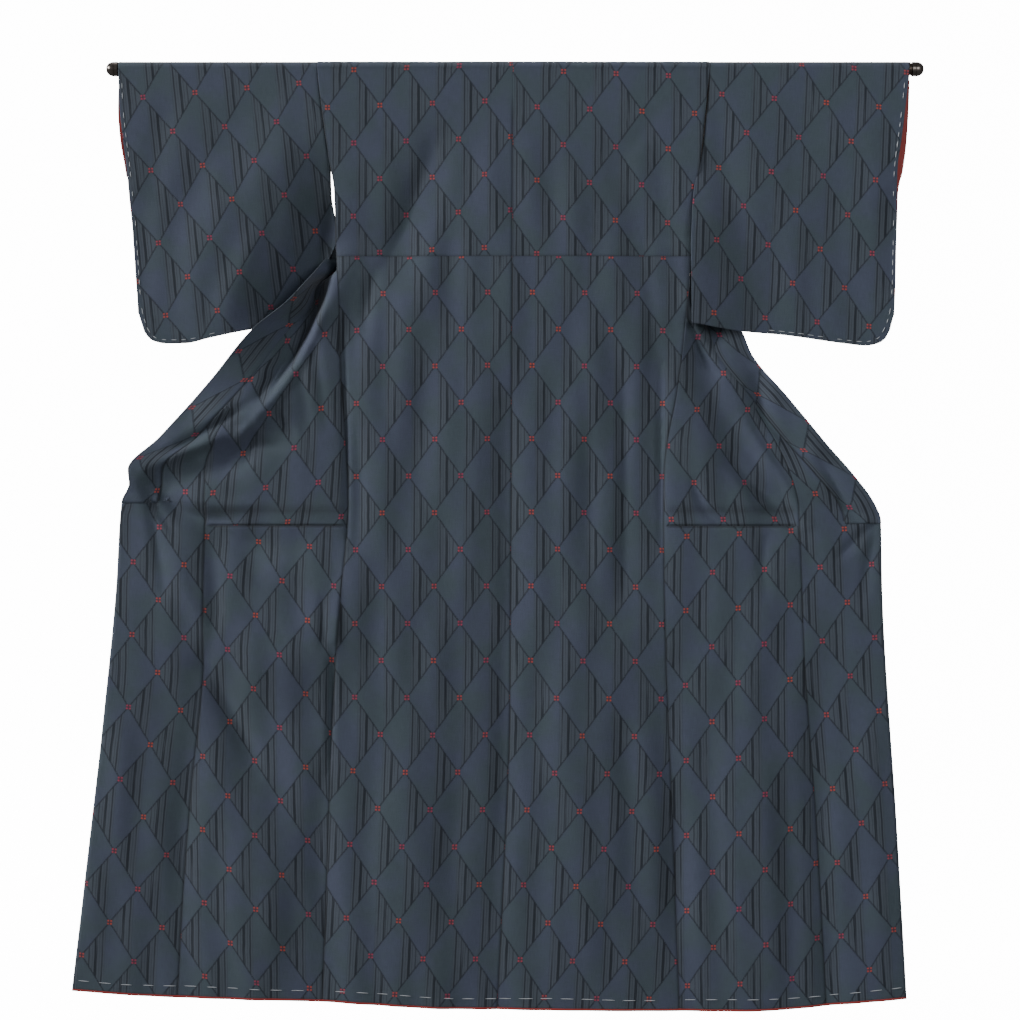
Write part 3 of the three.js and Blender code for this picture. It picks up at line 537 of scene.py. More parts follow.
def kasuriGroup():  # the woven pattern: uv in metres of the cloth in, colour and height out; the colour also carries painted shade where the cloth rolls into a seam or tuck
    tree, sheet, source, target = shaderGroup(
        "kasuriPattern",
        [("Cloth", "NodeSocketVector"), ("Place", "NodeSocketVector"), ("Painted Shade", "NodeSocketFloat")],
        [("Color", "NodeSocketColor"), ("Height", "NodeSocketFloat"), ("Roughness", "NodeSocketFloat")],
    )
    width = kasuri["diamondWidth"] * mm
    height = kasuri["diamondHeight"] * mm
    wobble = sheet.add("ShaderNodeTexNoise")
    sheet.tree.links.new(source["Cloth"], wobble.inputs["Vector"])
    fineness, wander = kasuri["wander"]
    wobble.inputs["Scale"].default_value = fineness
    shift = sheet.add("ShaderNodeVectorMath", operation="MULTIPLY_ADD")
    sheet.tree.links.new(wobble.outputs["Color"], shift.inputs[0])
    shift.inputs[1].default_value = (wander * mm, wander * mm, 0)
    sheet.tree.links.new(source["Cloth"], shift.inputs[2])
    split = sheet.add("ShaderNodeSeparateXYZ")
    sheet.tree.links.new(shift.outputs[0], split.inputs[0])
    across = sheet.sum("DIVIDE", split.outputs["X"], width)
    up = sheet.sum("DIVIDE", split.outputs["Y"], height)
    p = sheet.sum("ADD", across, up)
    q = sheet.sum("SUBTRACT", across, up)
    pMid = sheet.sum("SUBTRACT", sheet.sum("FRACT", p), 0.5)
    qMid = sheet.sum("SUBTRACT", sheet.sum("FRACT", q), 0.5)

    slant = width * height / math.hypot(width, height)  # metres between parallel outlines
    half = kasuri["lineHalf"] * mm

    def outline(value):
        away = sheet.sum("MULTIPLY", sheet.sum("SUBTRACT", 0.5, sheet.sum("ABSOLUTE", value)), slant)
        return sheet.band(away, half * 1.7, half * 0.5)

    frayed = sheet.noise(sheet.stretched(source["Cloth"], 500, 900), 1.0, 2)
    lines = sheet.sum("MAXIMUM", outline(pMid), outline(qMid))
    lines = sheet.sum("MULTIPLY", lines, sheet.band(frayed, 0.26, 0.62))

    local = sheet.sum("MULTIPLY", sheet.sum("ADD", pMid, qMid), width / 2)
    bars = 0.0
    for at, barHalf, strength in kasuri["bars"]:
        away = sheet.sum("ABSOLUTE", sheet.sum("SUBTRACT", local, at * mm))
        bar = sheet.band(away, (barHalf + 0.7) * mm, (barHalf - 0.4) * mm)
        bars = sheet.sum("MAXIMUM", bars, sheet.sum("MULTIPLY", bar, strength))
    streaks = sheet.noise(sheet.stretched(source["Cloth"], 260, 9), 1.0, 3)
    bars = sheet.sum("MULTIPLY", bars, sheet.band(streaks, 0.22, 0.55))
    stripedZone = sheet.band(local, 0.003, 0.009)

    pNear = sheet.sum("SUBTRACT", sheet.sum("FRACT", sheet.sum("ADD", p, 0.5)), 0.5)
    qNear = sheet.sum("SUBTRACT", sheet.sum("FRACT", sheet.sum("ADD", q, 0.5)), 0.5)
    markX = sheet.sum("ABSOLUTE", sheet.sum("MULTIPLY", sheet.sum("ADD", pNear, qNear), width / 2))
    rise = sheet.sum("SUBTRACT", pNear, qNear)
    markY = sheet.sum("ABSOLUTE", sheet.sum("MULTIPLY", rise, height / 2))
    markSize = kasuri["markHalf"] * mm
    mark = sheet.band(sheet.sum("ADD", markX, markY), markSize * 1.2, markSize * 0.7)

    # The dots of the ground: one thread crossing in two takes the dye.
    pitch = kasuri["dotPitch"] * mm
    dotU = sheet.sum("MULTIPLY", split.outputs["X"], 2 * math.pi / pitch)
    dotV = sheet.sum("MULTIPLY", split.outputs["Y"], 2 * math.pi / pitch)
    dots = sheet.sum("MULTIPLY", sheet.sum("COSINE", dotU), sheet.sum("COSINE", dotV))
    tone = sheet.noise(source["Cloth"], 13.0, 3)
    ground = sheet.blend(sheet.band(tone, 0.35, 0.65), kasuri["ground"], kasuri["groundWarm"])
    ground = sheet.blend(sheet.sum("MULTIPLY", stripedZone, 0.75), ground, kasuri["striped"])
    thread = sheet.noise(sheet.stretched(source["Cloth"], 700, 60), 1.0, 2)
    weft = sheet.noise(sheet.stretched(source["Cloth"], 60, 800), 1.0, 2)
    fleck = sheet.sum("ADD", sheet.sum("MULTIPLY", thread, 0.34), sheet.sum("MULTIPLY", weft, 0.26))
    dotted = sheet.sum("MULTIPLY", dots, kasuri["dotContrast"])
    light = sheet.sum("ADD", dotted, sheet.sum("ADD", fleck, 0.70))
    lit = sheet.add("ShaderNodeVectorMath", operation="SCALE")
    sheet.tree.links.new(ground, lit.inputs[0])
    sheet.tree.links.new(light, lit.inputs["Scale"])
    color = sheet.blend(sheet.sum("MULTIPLY", bars, 0.9), lit.outputs[0], kasuri["bar"])
    color = sheet.blend(sheet.sum("MULTIPLY", lines, 0.92), color, kasuri["line"])
    out, soft, hard = (value * mm for value in kasuri["markDots"])
    dotX = sheet.sum("POWER", sheet.sum("ABSOLUTE", sheet.sum("SUBTRACT", markX, out)), 2.0)
    dotY = sheet.sum("POWER", sheet.sum("ABSOLUTE", sheet.sum("SUBTRACT", markY, out)), 2.0)
    dot = sheet.band(sheet.sum("SQRT", sheet.sum("ADD", dotX, dotY)), soft, hard)
    cell = sheet.add("ShaderNodeCombineXYZ")
    sheet.tree.links.new(sheet.sum("FLOOR", sheet.sum("ADD", p, 0.5)), cell.inputs[0])
    sheet.tree.links.new(sheet.sum("FLOOR", sheet.sum("ADD", q, 0.5)), cell.inputs[1])
    chance = sheet.add("ShaderNodeTexWhiteNoise")  # no two marks took the dye alike
    sheet.tree.links.new(cell.outputs[0], chance.inputs["Vector"])
    dye = sheet.blend(chance.outputs["Value"], kasuri["mark"], kasuri["markWarm"])
    red = sheet.blend(dot, kasuri["markDark"], dye)
    mark = sheet.sum("MAXIMUM", dot, sheet.sum("MULTIPLY", mark, 0.7))
    color = sheet.blend(mark, color, red)
    # Painted shade: the colour is darkened where the cloth rolls into a seam or tuck, in place of the shade
    # there.
    shade = sheet.sum("SUBTRACT", 1.0, sheet.sum("MULTIPLY", source["Painted Shade"], kasuri["paintedShadeAmount"]))
    shaded = sheet.add("ShaderNodeVectorMath", operation="SCALE")
    sheet.tree.links.new(color, shaded.inputs[0])
    sheet.tree.links.new(shade, shaded.inputs["Scale"])
    sheet.tree.links.new(shaded.outputs[0], target["Color"])

    weaveRate = 2 * math.pi / (kasuri["weavePitch"] * mm)
    weaveU = sheet.sum("SINE", sheet.sum("MULTIPLY", split.outputs["X"], weaveRate))
    weaveV = sheet.sum("SINE", sheet.sum("MULTIPLY", split.outputs["Y"], weaveRate))
    woven = sheet.sum("MULTIPLY", sheet.sum("MULTIPLY", weaveU, weaveV), 0.35)
    slub = sheet.sum("ADD", sheet.sum("MULTIPLY", thread, 0.6), sheet.sum("MULTIPLY", weft, 0.6))
    soft = sheet.sum("MULTIPLY", sheet.noise(source["Place"], 38.0, 3), 2.2)
    raised = sheet.sum("ADD", sheet.sum("ADD", woven, slub), soft)
    sheet.tree.links.new(raised, target["Height"])
    sheet.tree.links.new(sheet.sum("ADD", sheet.sum("MULTIPLY", tone, 0.16), 0.74), target["Roughness"])
    return tree


def silkGroup():  # plain lining silk, from two tones
    tree, sheet, source, target = shaderGroup(
        "liningSilk",
        [("Cloth", "NodeSocketVector"), ("Light", "NodeSocketColor"), ("Dark", "NodeSocketColor")],
        [("Color", "NodeSocketColor"), ("Height", "NodeSocketFloat"), ("Roughness", "NodeSocketFloat")],
    )
    tone = sheet.noise(source["Cloth"], 11.0, 3)
    warp = sheet.noise(sheet.stretched(source["Cloth"], 1500, 50), 1.0, 2)
    weft = sheet.noise(sheet.stretched(source["Cloth"], 50, 1500), 1.0, 2)
    woven = sheet.sum("ADD", sheet.sum("MULTIPLY", warp, 0.5), sheet.sum("MULTIPLY", weft, 0.5))
    soft, fine = sheet.sum("MULTIPLY", tone, 0.6), sheet.sum("MULTIPLY", woven, 0.5)
    share = sheet.sum("ADD", soft, fine, clamp=True)
    color = sheet.blend(share, source["Dark"], source["Light"])
    sheet.tree.links.new(color, target["Color"])
    sheet.tree.links.new(woven, target["Height"])
    sheet.tree.links.new(sheet.sum("ADD", sheet.sum("MULTIPLY", tone, 0.2), 0.45), target["Roughness"])
    return tree


def clothMaterial(name, group, colors, bumpStrength, bumpDistance, sheen):
    material = bpy.data.materials.new(name)
    material.use_nodes = True
    sheet = nodeSheet(material.node_tree)
    shader = material.node_tree.nodes["Principled BSDF"]
    shader.inputs["Sheen Weight"].default_value = sheen
    shader.inputs["Sheen Roughness"].default_value = 0.45
    shader.inputs["Specular IOR Level"].default_value = 0.3
    coordinates = sheet.add("ShaderNodeUVMap", uv_map="cloth")
    pattern = sheet.add("ShaderNodeGroup", node_tree=group)
    # The mesh's painted seam shade mask feeds the pattern's painted shade.
    if "Painted Shade" in pattern.inputs:
        paintedSeamShade = sheet.add("ShaderNodeAttribute", attribute_name="paintedSeamShade")
        sheet.tree.links.new(paintedSeamShade.outputs["Fac"], pattern.inputs["Painted Shade"])
    sheet.tree.links.new(coordinates.outputs["UV"], pattern.inputs["Cloth"])
    if "Place" in pattern.inputs:
        place = sheet.add("ShaderNodeTexCoord")
        sheet.tree.links.new(place.outputs["Object"], pattern.inputs["Place"])
    for label, value in colors.items():
        pattern.inputs[label].default_value = value
    sheet.tree.links.new(pattern.outputs["Color"], shader.inputs["Base Color"])
    sheet.tree.links.new(pattern.outputs["Roughness"], shader.inputs["Roughness"])
    bump = sheet.add("ShaderNodeBump")
    bump.inputs["Strength"].default_value = bumpStrength
    bump.inputs["Distance"].default_value = bumpDistance
    sheet.tree.links.new(pattern.outputs["Height"], bump.inputs["Height"])
    sheet.tree.links.new(bump.outputs["Normal"], shader.inputs["Normal"])
    return material


def metalMaterial(name, color, roughness, scratchScale):
    material = bpy.data.materials.new(name)
    material.use_nodes = True
    sheet = nodeSheet(material.node_tree)
    shader = material.node_tree.nodes["Principled BSDF"]
    shader.inputs["Metallic"].default_value = 0.85
    place = sheet.add("ShaderNodeTexCoord").outputs["Object"]
    brushed = sheet.noise(sheet.stretched(place, 30, scratchScale, scratchScale), 1.0, 3)
    darker = tuple(c * 0.6 for c in color[:3]) + (1,)
    tinted = sheet.blend(sheet.band(brushed, 0.3, 0.7), darker, color)
    sheet.tree.links.new(tinted, shader.inputs["Base Color"])
    rough = sheet.sum("ADD", sheet.sum("MULTIPLY", brushed, 0.25), roughness)
    sheet.tree.links.new(rough, shader.inputs["Roughness"])
    bump = sheet.add("ShaderNodeBump")
    bump.inputs["Strength"].default_value = 0.08
    bump.inputs["Distance"].default_value = 0.0003
    sheet.tree.links.new(brushed, bump.inputs["Height"])
    sheet.tree.links.new(bump.outputs["Normal"], shader.inputs["Normal"])
    return material


silk = silkGroup()
silks = {  # light and dark tone, bump strength and depth, sheen
    "whiteLining": (linear(244, 240, 230), linear(222, 214, 198), 0.2, 0.0003, 0.1),
    "redLining": (linear(150, 50, 44), linear(112, 34, 32), 0.2, 0.0003, 0.15),
    "bastingThread": (linear(176, 180, 184), linear(142, 147, 154), 0.3, 0.0002, 0.1),
}
finishes = {
    "kasuriCloth": clothMaterial("kasuriCloth", kasuriGroup(), {}, 0.35, 0.0006, 0.12),
    **{
        name: clothMaterial(name, silk, {"Light": light, "Dark": dark}, *relief)
        for name, (light, dark, *relief) in silks.items()
    },
    "rodMetal": metalMaterial("rodMetal", linear(70, 60, 54), 0.28, 900),
    "capMetal": metalMaterial("capMetal", linear(96, 90, 86), 0.12, 400),
}

print("stage 3: cloth")

rimReach = 0.32  # how far an edge rolls out, of the wall


def lengthOne(vectors):
    return vectors / (np.linalg.norm(vectors, axis=-1, keepdims=True) + 1e-12)


def clothMesh(name, grid, uv, outward, thickness=wall, dip=None, inside=None, materials=None, breaks=()):
    # A thin wall around a grid of points, with a rolled edge all round. At the rows in breaks its width jumps.
    # dip: how far each point rolls in at a seam; it also sets the painted seam shade in the colour. inside:
    # each inner face's material, 1 white and 2 red lining.
    rows, columns, _ = grid.shape
    across = np.gradient(grid, axis=1)
    down = np.concatenate([np.gradient(part, axis=0) for part in np.split(grid, breaks)])
    normal = lengthOne(np.cross(across, down)) * outward
    if dip is not None:
        grid = grid - normal * dip[..., None]
    outer = grid + normal * thickness / 2
    inner = grid - normal * thickness / 2
    count = rows * columns
    index = np.arange(count).reshape(rows, columns)
    a, b = index[:-1, :-1].ravel(), index[:-1, 1:].ravel()
    c, d = index[1:, 1:].ravel(), index[1:, :-1].ravel()
    near = np.stack([a, b, c, d], 1)
    if outward < 0:
        near = near[:, ::-1]
    far = near[:, ::-1] + count
    rim = np.concatenate([index[0, :-1], index[:-1, -1], index[-1, :0:-1], index[:0:-1, 0]])
    out = np.zeros(grid.shape)
    out[0] -= lengthOne(down[0])
    out[-1] += lengthOne(down[-1])
    out[:, 0] -= lengthOne(across[:, 0])
    out[:, -1] += lengthOne(across[:, -1])
    edge = grid.reshape(-1, 3)[rim] + lengthOne(out.reshape(-1, 3)[rim]) * thickness * rimReach
    follow = np.roll(np.arange(len(rim)), -1)
    middle = 2 * count + np.arange(len(rim))
    first = np.stack([rim[follow], rim, middle, middle[follow]], 1)
    second = np.stack([middle[follow], middle, rim + count, rim[follow] + count], 1)
    rims = np.concatenate([first, second])
    if outward < 0:
        rims = rims[:, ::-1]
    points = np.concatenate([outer.reshape(-1, 3), inner.reshape(-1, 3), edge]) * mm
    faces = np.concatenate([near, far, rims])
    mesh = bpy.data.meshes.new(name)
    mesh.from_pydata(points.tolist(), [], faces.tolist())
    slots = np.zeros(len(faces), np.int32)
    slots[len(near) : 2 * len(near)] = 1 if inside is None else inside.ravel()
    mesh.polygons.foreach_set("material_index", slots)
    mesh.polygons.foreach_set("use_smooth", np.ones(len(faces), bool))
    flat = uv.reshape(-1, 2)
    places = np.concatenate([flat, flat, flat[rim]]) * mm
    corner = np.zeros(len(mesh.loops), np.int32)
    mesh.loops.foreach_get("vertex_index", corner)
    layer = mesh.uv_layers.new(name="cloth")
    layer.data.foreach_set("uv", places[corner].ravel().astype(np.float32))
    # Painted seam shade mask: 1 where the cloth rolls fully into a seam or tuck, darkening its colour there.
    paintedSeamShade = np.zeros(len(points))
    if dip is not None:
        paintedSeamShade[:count] = np.clip(np.broadcast_to(dip, grid.shape[:2]).ravel() / garment["seamDip"], 0, 1)
        paintedSeamShade[middle] = paintedSeamShade[rim]
    mesh.attributes.new("paintedSeamShade", "FLOAT", "POINT").data.foreach_set("value", paintedSeamShade.astype(np.float32))
    for key in materials or ("kasuriCloth", "whiteLining", "redLining"):
        mesh.materials.append(finishes[key])
    mesh.update()
    piece = bpy.data.objects.new(name, mesh)
    bpy.context.scene.collection.objects.link(piece)
    return piece


def spread(width, step=6.0):  # columns, closer beside both edges where a seam rolls in
    edge = np.array([0, 0.9, 2.0, 3.6])
    count = max(2, int((width - 12) / step))
    middle = np.linspace(6, width - 6, count)
    return np.concatenate([edge, middle, width - edge[::-1]]) / width


def seamDip(distance):
    return garment["seamDip"] * np.exp(-((distance / 2.4) ** 2))


def overRod(x, turn, lift=0):  # turn: degrees over the rod, 90 towards the camera
    angle = np.radians(turn)
    radius = hang + lift
    return np.stack(np.broadcast_arrays(x, -radius * np.sin(angle), radius * np.cos(angle)), -1)


def runLengths(x, y):  # how far along the cloth each column lies
    first = np.zeros((len(x), 1))
    return np.concatenate([first, np.cumsum(np.hypot(np.diff(x), np.diff(y)), 1)], 1)


hakkake = {"body": -985, "cuff": 60}  # the red lining: below this height, and this near the cuff
overSteps = 12  # rows over the rod
evenHeights = -np.linspace(0, garment["length"] - 8, 256)
tucks = np.array([garment["backTuck"], garment["frontTuck"]])
evenHeights = evenHeights[np.abs(evenHeights[:, None] - tucks).min(1) > 5]
tuckHeights = (tucks[:, None] + [-4, -2.2, -1.0, -0.1, 0.1, 1.0, 2.2, 4]).ravel()
bodyHeights = np.sort(np.concatenate([evenHeights, tuckHeights, [-1540, -1542.5, -1545]]))[::-1]


def liningRows(heights, columns, extra):
    low = (heights[:-1] + heights[1:]) / 2 < hakkake["body"]
    inside = np.where(low, 2, 1)
    inside = np.concatenate([np.ones(extra, int), inside])
    return np.repeat(inside[:, None], columns - 1, axis=1)


# How the woven pattern lies on each piece: the place of one red mark and how far the cloth leans,
# with x from the piece's inner seam and z from the shoulder, in mm.
patternPlace = {
    "backTop": {-1: (-2, 8), 1: (-2, -2), "droop": 0.04},
    "backLow": {-1: (4, 54), 1: (-9, 54), "droop": 0.01},
    "frontTop": {-1: (25, -15.5, 0.1, 0.1), 1: (-19, -689, 0.1, 0.0)},
    "frontLow": {-1: (14.9, 49.8, -0.052, -0.09), 1: (20, 10, -0.033, -0.05)},
    "overlap": {-1: (-11, -38, 0.0, -0.05), 1: (30, 20, 0.0, -0.05)},
    "collar": {-1: (7, -519), 1: (14, -635)},  # from the collar's seam, and the height of that mark
    "sleeve": {-1: (205, -22.2, -0.1, 0.09), 1: (-22, 19, -0.04, 0.08)},
}


def patterned(across, z, place):
    return np.stack([across + place[2] * z - place[0], z + place[3] * across - place[1]], -1)


tuckShapes = {  # each roll of a tuck: how deep, how far over the tuck, and its half width; the depth also sets the painted shade along the tuck
    "back": [(0.3, 0, 1.9)],
    "front": [(1.4, 0, 2.2), (0.3, 26, 7)],
}


def tuckDip(z, place):
    level = garment[place + "Tuck"]
    return sum(deep * np.exp(-(((z - level - over) / half) ** 2)) for deep, over, half in tuckShapes[place])


def backPiece(side, name, nodes):
    width = garment["backWidth"]
    u = spread(width)
    z = bodyHeights[:, None]
    inner = centre(z) + side.sign * 0.5 * seam
    outer = side.sign * (side.side(z) - 0.5 * seam)
    x = mix(inner, outer, u)
    body = np.stack([x, backY(side, x, z), lowered(x, z)], -1)
    steps = (np.arange(overSteps) / overSteps)[:, None]
    top = x[:1]
    neck = 1 - ease(78, 100, np.abs(top))
    turn = mix(mix(0, -garment["neckTurn"], neck), 90, steps)
    over = overRod(top, turn, garment["neckLift"] * np.minimum(1, 8 * neck + 0.7))
    grid = np.concatenate([over, body])
    uvX = np.concatenate([np.repeat(top, overSteps, 0), x - centre(z)])
    uvZ = np.concatenate([np.radians(90 - turn) * hang + 0 * top, z + 0 * x])
    above, below = patternPlace["backTop"], patternPlace["backLow"]
    uvTop = patterned(uvX, uvZ, (*above[side.sign], 0, side.sign * above["droop"]))
    uvLow = patterned(uvX, uvZ, (*below[side.sign], 0, side.sign * below["droop"]))
    uv = np.where(uvZ[..., None] < garment["backTuck"], uvLow, uvTop)
    distance = np.minimum(u, 1 - u) * width
    dip = np.concatenate([np.zeros((overSteps, len(u))), seamDip(distance) * ease(*sewnDown["shoulder"], z)])
    dip[overSteps:] += tuckDip(z, "back")
    inside = liningRows(bodyHeights, len(u), overSteps)
    piece = clothMesh(name, grid, uv, -side.sign, dip=dip, inside=inside)
    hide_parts(*nodes)
    return piece


def frontPiece(side, name, nodes):
    width = garment["frontWidth"]
    u = spread(width)
    z = bodyHeights[:, None]
    begin = 0.5 * seam / np.maximum(20, np.abs(frontRow(side, z)[1][0] - side.side(z)))
    q = mix(begin, frontEnd(side, z), u)
    x, y = frontPoint(side, q, z)
    body = np.stack([x, y, lowered(x, z)], -1)
    steps = (np.arange(overSteps) / overSteps)[:, None]
    top = x[:1]
    turn = mix(0, -90, steps)
    over = overRod(top, turn)
    grid = np.concatenate([over, body])
    lengths = runLengths(x, y)
    uvX = np.concatenate([np.repeat(lengths[:1], overSteps, 0), lengths])
    uvZ = np.concatenate([np.radians(90 + turn) * hang + 0 * top, z + 0 * x])
    uvTop = patterned(uvX, uvZ, patternPlace["frontTop"][side.sign])
    uvLow = patterned(uvX, uvZ, patternPlace["frontLow"][side.sign])
    uv = np.where(uvZ[..., None] < garment["frontTuck"], uvLow, uvTop)
    uv *= np.array([-side.sign, -1])  # past the shoulder fold the cloth lies the other way up
    distance = np.minimum(u, 1 - u) * width
    rolled = np.where(u < 0.5, ease(*sewnDown["shoulder"], z), ease(*sewnDown["collar"], z))
    dip = np.concatenate([np.zeros((overSteps, len(u))), seamDip(distance) * rolled])
    dip[overSteps:] += tuckDip(z, "front") * ease(2, 14, lengths) * ease(2, 14, lengths[:, -1:] - lengths)
    inside = liningRows(bodyHeights, len(u), overSteps)
    piece = clothMesh(name, grid, uv, -side.sign, dip=dip, inside=inside)
    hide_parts(*nodes)
    return piece


pressedShare = 0.003  # of the front's width, under the collar's seam
tipShare = 0.002  # the overlap's point, of the front's width
stepHeight = 0.15  # the rows above and below the collar's end lie this far from it


def overlapPiece(side, name, node, collarEnd):
    above = bodyHeights[bodyHeights > overlapTop][-1:]
    heights = np.concatenate([above, bodyHeights[bodyHeights <= overlapTop]])
    heights = heights[np.abs(heights - collarEnd) > 2.2]
    heights = np.sort(np.append(heights, [collarEnd + stepHeight, collarEnd - stepHeight]))[::-1]
    z = heights[:, None]
    width = garment["overlapWidth"]
    inward, outward = spread(width), np.linspace(0, 1, 11)[1:]
    s, a, c = frontRow(side, z)
    inner = (side.overlap(z) + 0.5 * seam - s[0]) / (a[0] - s[0])
    free = (c[0] - s[0]) / (a[0] - s[0])
    edge = 1 - 2 * seam / (a[0] - s[0])
    last = edge - pressedShare * (z > collarEnd)
    outer = np.where(z > collarEnd, edge, free)  # above the collar's end the free part is pressed into the seam
    inner[0] = last[0] - tipShare
    q = np.concatenate([mix(inner, last, inward), mix(last, outer, outward)], 1)
    x, y = frontPoint(side, q, z)
    past = np.clip((q - 1) / (free - 1), 0, 1)  # below the collar's end the cloth goes on in the collar's line
    follow = ease(collarEnd - 60, collarEnd, z) * (q > 1)
    y = mix(y, collarPoint(side, past, z)[1], follow)
    grid = np.stack([x, y, lowered(x, z)], -1)
    lengths = runLengths(x, y)
    uv = patterned(lengths, z + 0 * x, patternPlace["overlap"][side.sign])
    uv *= np.array([-side.sign, -1])
    beside = np.concatenate([inward, 1 + 0 * outward]) * width
    dip = seamDip(beside) + seamDip(width - beside) * (z > collarEnd)
    inside = liningRows(heights, len(beside), 0)
    breaks = [int(np.sum(heights > collarEnd))]
    piece = clothMesh(name, grid, uv, -side.sign, dip=dip, inside=inside, breaks=breaks)
    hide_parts(node)
    return piece


neckFan = [  # behind the neck: across, height, then the same at the free edge
    (0, 4.6, 0, -48),
    (0.4, 4.6, 0.33, -48),
    (0.76, 4.6, 0.58, -49),
    (0.97, -1, 0.74, -51),
]


collarOver = {"out": 1.2, "below": 3.0}  # how the collar's end lies over the overlap
collarWall = 1.8


def smoothRows(rows, perStep):  # a smooth run of rows through the given ones
    rows = np.asarray(rows)
    padded = np.concatenate([2 * rows[:1] - rows[1:2], rows, 2 * rows[-1:] - rows[-2:-1]])
    result = []
    for i in range(1, len(padded) - 2):
        p0, p1, p2, p3 = padded[i - 1 : i + 3]
        for step in range(perStep):
            t = step / perStep
            result.append(
                0.5 * (2 * p1 + (p2 - p0) * t + (2 * p0 - 5 * p1 + 4 * p2 - p3) * t * t
                       + (3 * p1 - p0 - 3 * p2 + p3) * t ** 3)
            )
    result.append(padded[-2])
    return np.array(result)


def collarPiece(side, name, node, collarEnd):
    width = garment["collarWidth"]
    w = spread(width, 5.5)
    seamX = frontRow(side, 0)[1][0]

    def fanRow(row):
        x = side.sign * (row[0] * seamX + 0.5 * seam)
        freeX = side.sign * (row[2] * seamX + 0.5 * seam)
        y = mix(11.2 if row[1] > 0 else 12.8, 16, w ** 0.3)
        return np.stack([mix(x, freeX, w), y, mix(row[1], row[3], w)], -1)

    def hungRow(z):
        start = collarGap(side, z) / side.band(z)
        x, y = collarPoint(side, mix(start, 1, w), z)
        drop = mix(0, -garment["neckBand"] * 0.6, w) * (1 - ease(-20, -100, z))
        y = y - collarOver["out"] * ease(collarEnd + 14, collarEnd + 2, z)
        return np.stack([x, y, lowered(x, z) + drop], -1)

    top = smoothRows([fanRow(row) for row in neckFan] + [hungRow(z) for z in (-30, -60, -100)], 7)
    last = collarEnd - collarOver["below"]
    heights = np.append(bodyHeights[(bodyHeights < -103) & (bodyHeights > last + 2)], last)
    low = np.array([hungRow(z) for z in heights])
    grid = np.concatenate([top, low])
    run = np.linalg.norm(np.diff(grid.mean(1), axis=0), axis=1)
    along = np.concatenate([[0], np.cumsum(run)])[:, None]
    shift, level = patternPlace["collar"][side.sign]
    start = np.interp(-level, -heights, along[len(top) :, 0])
    uv = np.stack([-side.sign * (w * width - shift) + 0 * along, along - start + 0 * w], -1)
    inside = np.zeros((len(grid) - 1, len(w) - 1), int)
    rolled = np.concatenate([np.zeros(len(top)), ease(*sewnDown["collar"], heights)])[:, None]
    piece = clothMesh(name, grid, uv, -side.sign, thickness=collarWall, dip=seamDip(w * width) * rolled,
                      inside=inside)
    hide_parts(node)
    return piece


sleeveGap = {"together": 1.3, "bottom": 0.85}  # half the space between the layers where they are sewn


class sleeveForm:
    def __init__(self, rows):
        self.sign = rows["sign"]
        self.cuff = rows["cuff"]
        self.cover = rows["cover"]
        self.inner = through(rows["levels"], 0, 1)
        self.outer = through(rows["levels"], 0, 2)
        self.far = through(rows["levels"], 0, 3)
        self.lean = through(rows["levels"], 0, 4)
        self.bottom = through(rows["bottom"])
        self.low = rows["levels"][-1]

    def cuffEdge(self, layer):
        return self.outer if layer < 0 else self.far

    def depth(self, u, f, z, layer):  # half the space between the layers, narrow where they are sewn together
        together = sleeveGap["together"]
        room = mix(hang, together, ease(0.05, 0.98, f))
        shut = ease(self.cuff + 20, self.cuff - 40, z) * ease(0.86, 0.99, u)
        room = mix(room, together, shut)
        room = mix(room, sleeveGap["bottom"], ease(0.97, 1, f))
        sway = self.lean(z) * (1 - ease(0, 0.42, u))
        ripple = 2.5 * np.sin(7 * u + 1.3) * ease(0.2, 0.9, f) * np.sin(np.pi * u)
        return layer * room + sway + ripple

    def point(self, u, f, layer):  # u from the inner edge to the cuff, f from the shoulder to the bottom
        z = f * self.bottom(mix(self.low[1], self.low[2], u))
        inner = self.inner(z) - (self.cover * ease(-150, -190, z) if layer < 0 else 0)
        x = mix(inner, self.cuffEdge(layer)(z), u)
        relief = softWave(self.sign * x, z) * np.sin(np.pi * np.clip(u, 0, 1)) * 0.9
        relief = relief * ease(0, 0.2, f) * (1 - ease(0.9, 1, f))
        drag = foldDepth(self.sign * x, z, sleeveFoldCurves)
        relief = relief + drag * (1 - ease(0.93, 1, f)) * ease(0.02, 0.2, f)
        return np.stack(np.broadcast_arrays(self.sign * x, self.depth(u, f, z, layer) + relief, z), -1)


sleeveFoldRows = [  # soft drags on the sleeves, both layers together
    (-306, -186, -334, -326, -398, -456, 46, 30),
    (-412, -240, -452, -330, -500, -420, 18, -3),
    (-340, -120, -470, -240, -560, -400, 34, -2.6),
    (-420, -40, -520, -180, -600, -330, 30, 2.2),
    (-560, -30, -596, -160, -616, -380, 20, 2.2),
    (-380, -60, -386, -180, -372, -300, 24, -2.0),
    (338, -170, 380, -260, 392, -425, 26, 3.0),
    (360, -60, 430, -210, 470, -430, 32, -2.4),
    (460, -40, 520, -200, 540, -430, 28, 2.2),
    (580, -30, 600, -180, 610, -400, 20, -2.0),
    (330, -40, 350, -150, 340, -330, 18, 2.0),
]
sleeveFoldCurves = [foldCurve(fold) for fold in sleeveFoldRows]


